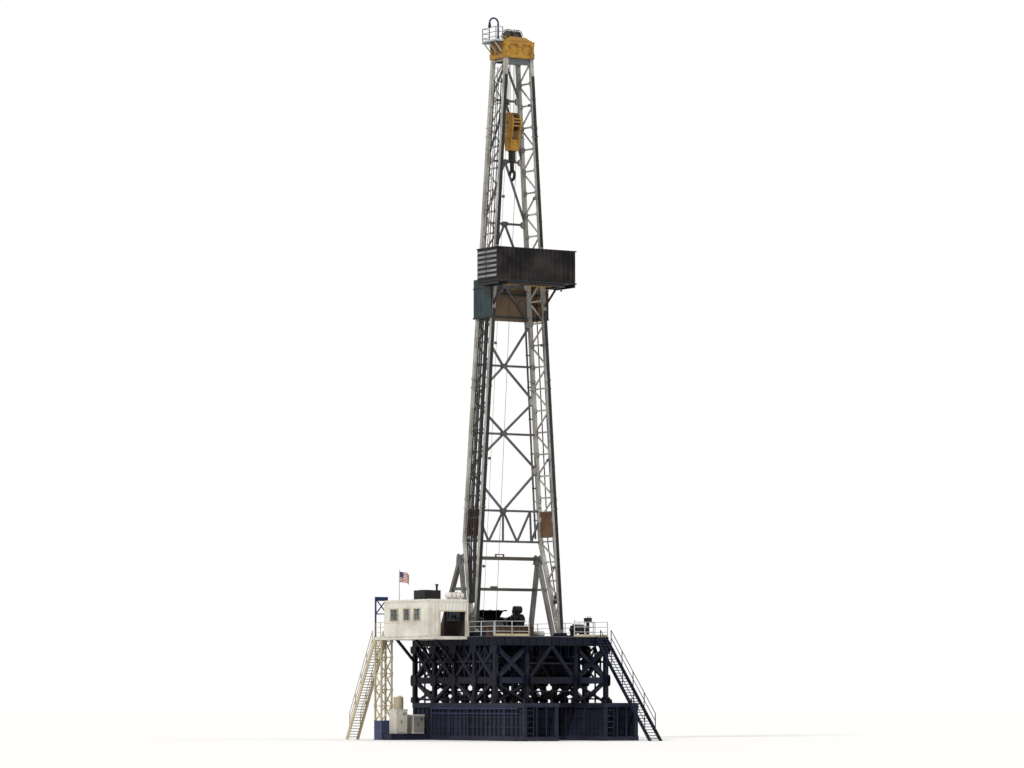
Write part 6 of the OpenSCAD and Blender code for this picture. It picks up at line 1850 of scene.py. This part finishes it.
def interior_shade_lining():
    """Dark sheets inside the doghouse walls and ceiling, as painted shade for the inside of the
    doghouse.
    """
    lining = Shape()
    t = 0.004
    x0, x1 = DOG_OUT + WALL_T, DOG_IN - WALL_T
    y0, y1 = DOG_FRONT_Y + WALL_T, DOG_REAR_Y - WALL_T
    z0, z1 = WALL_Z0 + 0.001, WALL_Z1 - 0.001
    sill, head, lintel = SILL_Z - 0.02, HEAD_Z + 0.02, HEAD_Z + 0.05
    piers = [v for y, w in LEFT_WINDOWS for v in (y - w / 2 - JAMB, y + w / 2 + JAMB)]
    piers = [y0] + piers + [y1]
    left = [(y0, y1, z0, sill), (y0, y1, head, z1)]
    left += [(a, b, sill, head) for a, b in zip(piers[0::2], piers[1::2])]
    (near, far), (start, end) = SIDE_DOOR, SIDE_WINDOW
    right = [(y0, near, z0, sill), (y0, start, sill, head), (end, near, sill, head),
             (y0, y1, lintel, z1), (far, y1, z0, lintel), (y0, near, head, lintel)]
    for x, spans in ((x0, left), (x1 - t, right)):
        for a, b, low, high in spans:
            lining.box((x, a, low), (x + t, b, high))
    near, far = REAR_DOOR
    rear = [(x0, near, z0), (far, x1, z0), (near, far, WALL_Z0 + 1.05)]
    front = [(x0, FRONT_DOOR[0], z0), (FRONT_DOOR[0], x1, WALL_Z0 + 0.92)]
    for y, spans in ((y1 - t, rear), (y0, front)):
        for a, b, low in spans:
            lining.box((a, y, low), (b, y + t, z1))
    lining.box((x0, y0, z1 - t), (x1, y1, z1))
    piece(lining, "doghouse_shade_lining", SHADE_LINING)


def bunting(name, colour):
    """Woven flag cloth, faded and a little dusty."""
    material, make, shader = base_material(name)
    place = make.place()
    fade = make.ramp(make.noise(place, 5.0, 4.0), 0.3, 0.8)
    pale = tuple(mix(c, 0.3, 0.25) for c in colour)
    bump(make, shader, make.wave(place, "Z", 140.0), 0.25, 0.001)
    make.fill(shader, {"Base Color": make.colour(fade, (*colour, 1), (*pale, 1)),
                       "Roughness": 0.88, "Sheen Weight": 0.2})
    return material


def flag_cloth():
    """The flag streaming from its pole in folds, striped, with a plain canton at the hoist."""
    low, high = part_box("flag")
    width, height = high.x - low.x, high.z - low.z
    columns, rows = 45, 26
    step = width / columns
    middle = (low.y + high.y) / 2
    cloth = Shape()
    for v in spread(rows + 1, 0, 1):
        x, y = low.x, middle
        for u in spread(columns + 1, 0, 1):
            droop = 0.12 * u * u + 0.01 * math.sin(7 * u)
            cloth.points.append((x, y, high.z - v * height * (1 - 0.06 * u) - droop))
            turn = 0.66 * math.sin(2 * math.pi * (1.55 * u - 0.16 * v)) * min(1.0, 3.0 * u)
            x += math.cos(turn) * step
            y += math.sin(turn) * step
    for row in range(rows):
        for column in range(columns):
            a = row * (columns + 1) + column
            cloth.faces.append((a, a + columns + 1, a + columns + 2, a + 1))
    flag = piece(cloth, "flag_bunting", bunting("red bunting", (0.4, 0.03, 0.035)),
                 smooth=True)
    for material in (bunting("white bunting", (0.72, 0.7, 0.66)),
                     bunting("navy bunting", (0.02, 0.028, 0.11))):
        flag.data.materials.append(material)
    for index, polygon in enumerate(flag.data.polygons):
        row, column = divmod(index, columns)
        polygon.material_index = 2 if row < 14 and column < 18 else (row // 2) % 2
    flag.modifiers.new("cloth", "SOLIDIFY").thickness = 0.0015
    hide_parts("flag")
    rings = Shape()
    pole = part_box("flag_pole")
    x = (pole[0].x + pole[1].x) / 2
    for z in (high.z - 0.012, (low.z + high.z) / 2, low.z + 0.012):
        rings.band((x, middle, z), Z, hoop(0.0152, 0.019, 0.006, 0.004), 20)
    rings.lathe((x, middle, pole[1].z), Z, [(0.016, -0.004), (0.026, 0.006), (0.026, 0.02),
                                            (0.004, 0.03)], 20)
    piece(rings, "pole_rings", RAIL_GREY, smooth=True)


drawworks_details()
motor_details()
gear_details()
skid_details()
hoist_fittings()
floor_fittings()
stair_details("right_stair_nosings", "stair_right_treads", NAVY)
stair_details("left_stair_nosings", "stair_left_treads", CREAM)
tower_fittings()
cabinet_fittings()
side_skid_edges()
base_ends()
interior_shade_lining()
flag_cloth()

# Camera at the photograph's viewing angle
VIEW_TURN = math.radians(-33)
VIEW_REACH = 160.0
EYE_Z = 1.55
AIM_Z = 13.25
LENS = 151.0


def make_camera():
    """A camera at standing height, in front and to the left of the rig."""
    lens = bpy.data.cameras.new("camera")
    lens.lens = LENS
    lens.clip_end = 500
    eye = Vector((math.sin(VIEW_TURN) * VIEW_REACH, -math.cos(VIEW_TURN) * VIEW_REACH, EYE_Z))
    camera = bpy.data.objects.new("camera", lens)
    camera.location = eye
    camera.rotation_euler = (Vector((0, 0, AIM_Z)) - eye).to_track_quat("-Z", "Y").to_euler()
    bpy.context.scene.collection.objects.link(camera)
    bpy.context.scene.camera = camera


def make_light():
    """Plain, soft studio light and a white surround."""
    for name, turn, tilt, strength, softness in (
            ("key", -62, 48, 2.1, 12), ("fill", 40, 62, 0.7, 40), ("back", 150, 50, 0.9, 30)):
        lamp = bpy.data.lights.new(name, "SUN")
        lamp.energy = strength
        lamp.angle = math.radians(softness)
        sun = bpy.data.objects.new(name, lamp)
        sun.rotation_euler = (math.radians(tilt), 0, math.radians(turn))
        bpy.context.scene.collection.objects.link(sun)
    world = bpy.data.worlds.new("studio")
    bpy.context.scene.world = world
    world.use_nodes = True
    make = Nodes(world.node_tree)
    rays = make.make("LightPath").outputs
    seen = make.math("MAXIMUM", rays["Is Camera Ray"],
                     make.math("MAXIMUM", rays["Is Glossy Ray"], rays["Is Transmission Ray"]))
    make.fill(world.node_tree.nodes["Background"],
              {"Color": (1, 1, 1, 1), "Strength": make.math("MULTIPLY_ADD", seen, 0.5, 0.5)})


def make_ground():
    """A plain pale floor that keeps the rig's shadow."""
    mesh = bpy.data.meshes.new("ground")
    mesh.from_pydata([(-400, -400, 0), (400, -400, 0), (400, 400, 0), (-400, 400, 0)], [],
                     [(0, 1, 2, 3)])
    floor = bpy.data.objects.new("ground", mesh)
    bpy.context.scene.collection.objects.link(floor)
    material, make, shader = base_material("pale floor")
    make.fill(shader, {"Base Color": (0.8, 0.79, 0.77, 1), "Roughness": 0.9,
                       "Specular IOR Level": 0.1})
    mesh.materials.append(material)


make_camera()
make_light()
make_ground()
bpy.context.scene.view_settings.view_transform = "Standard"
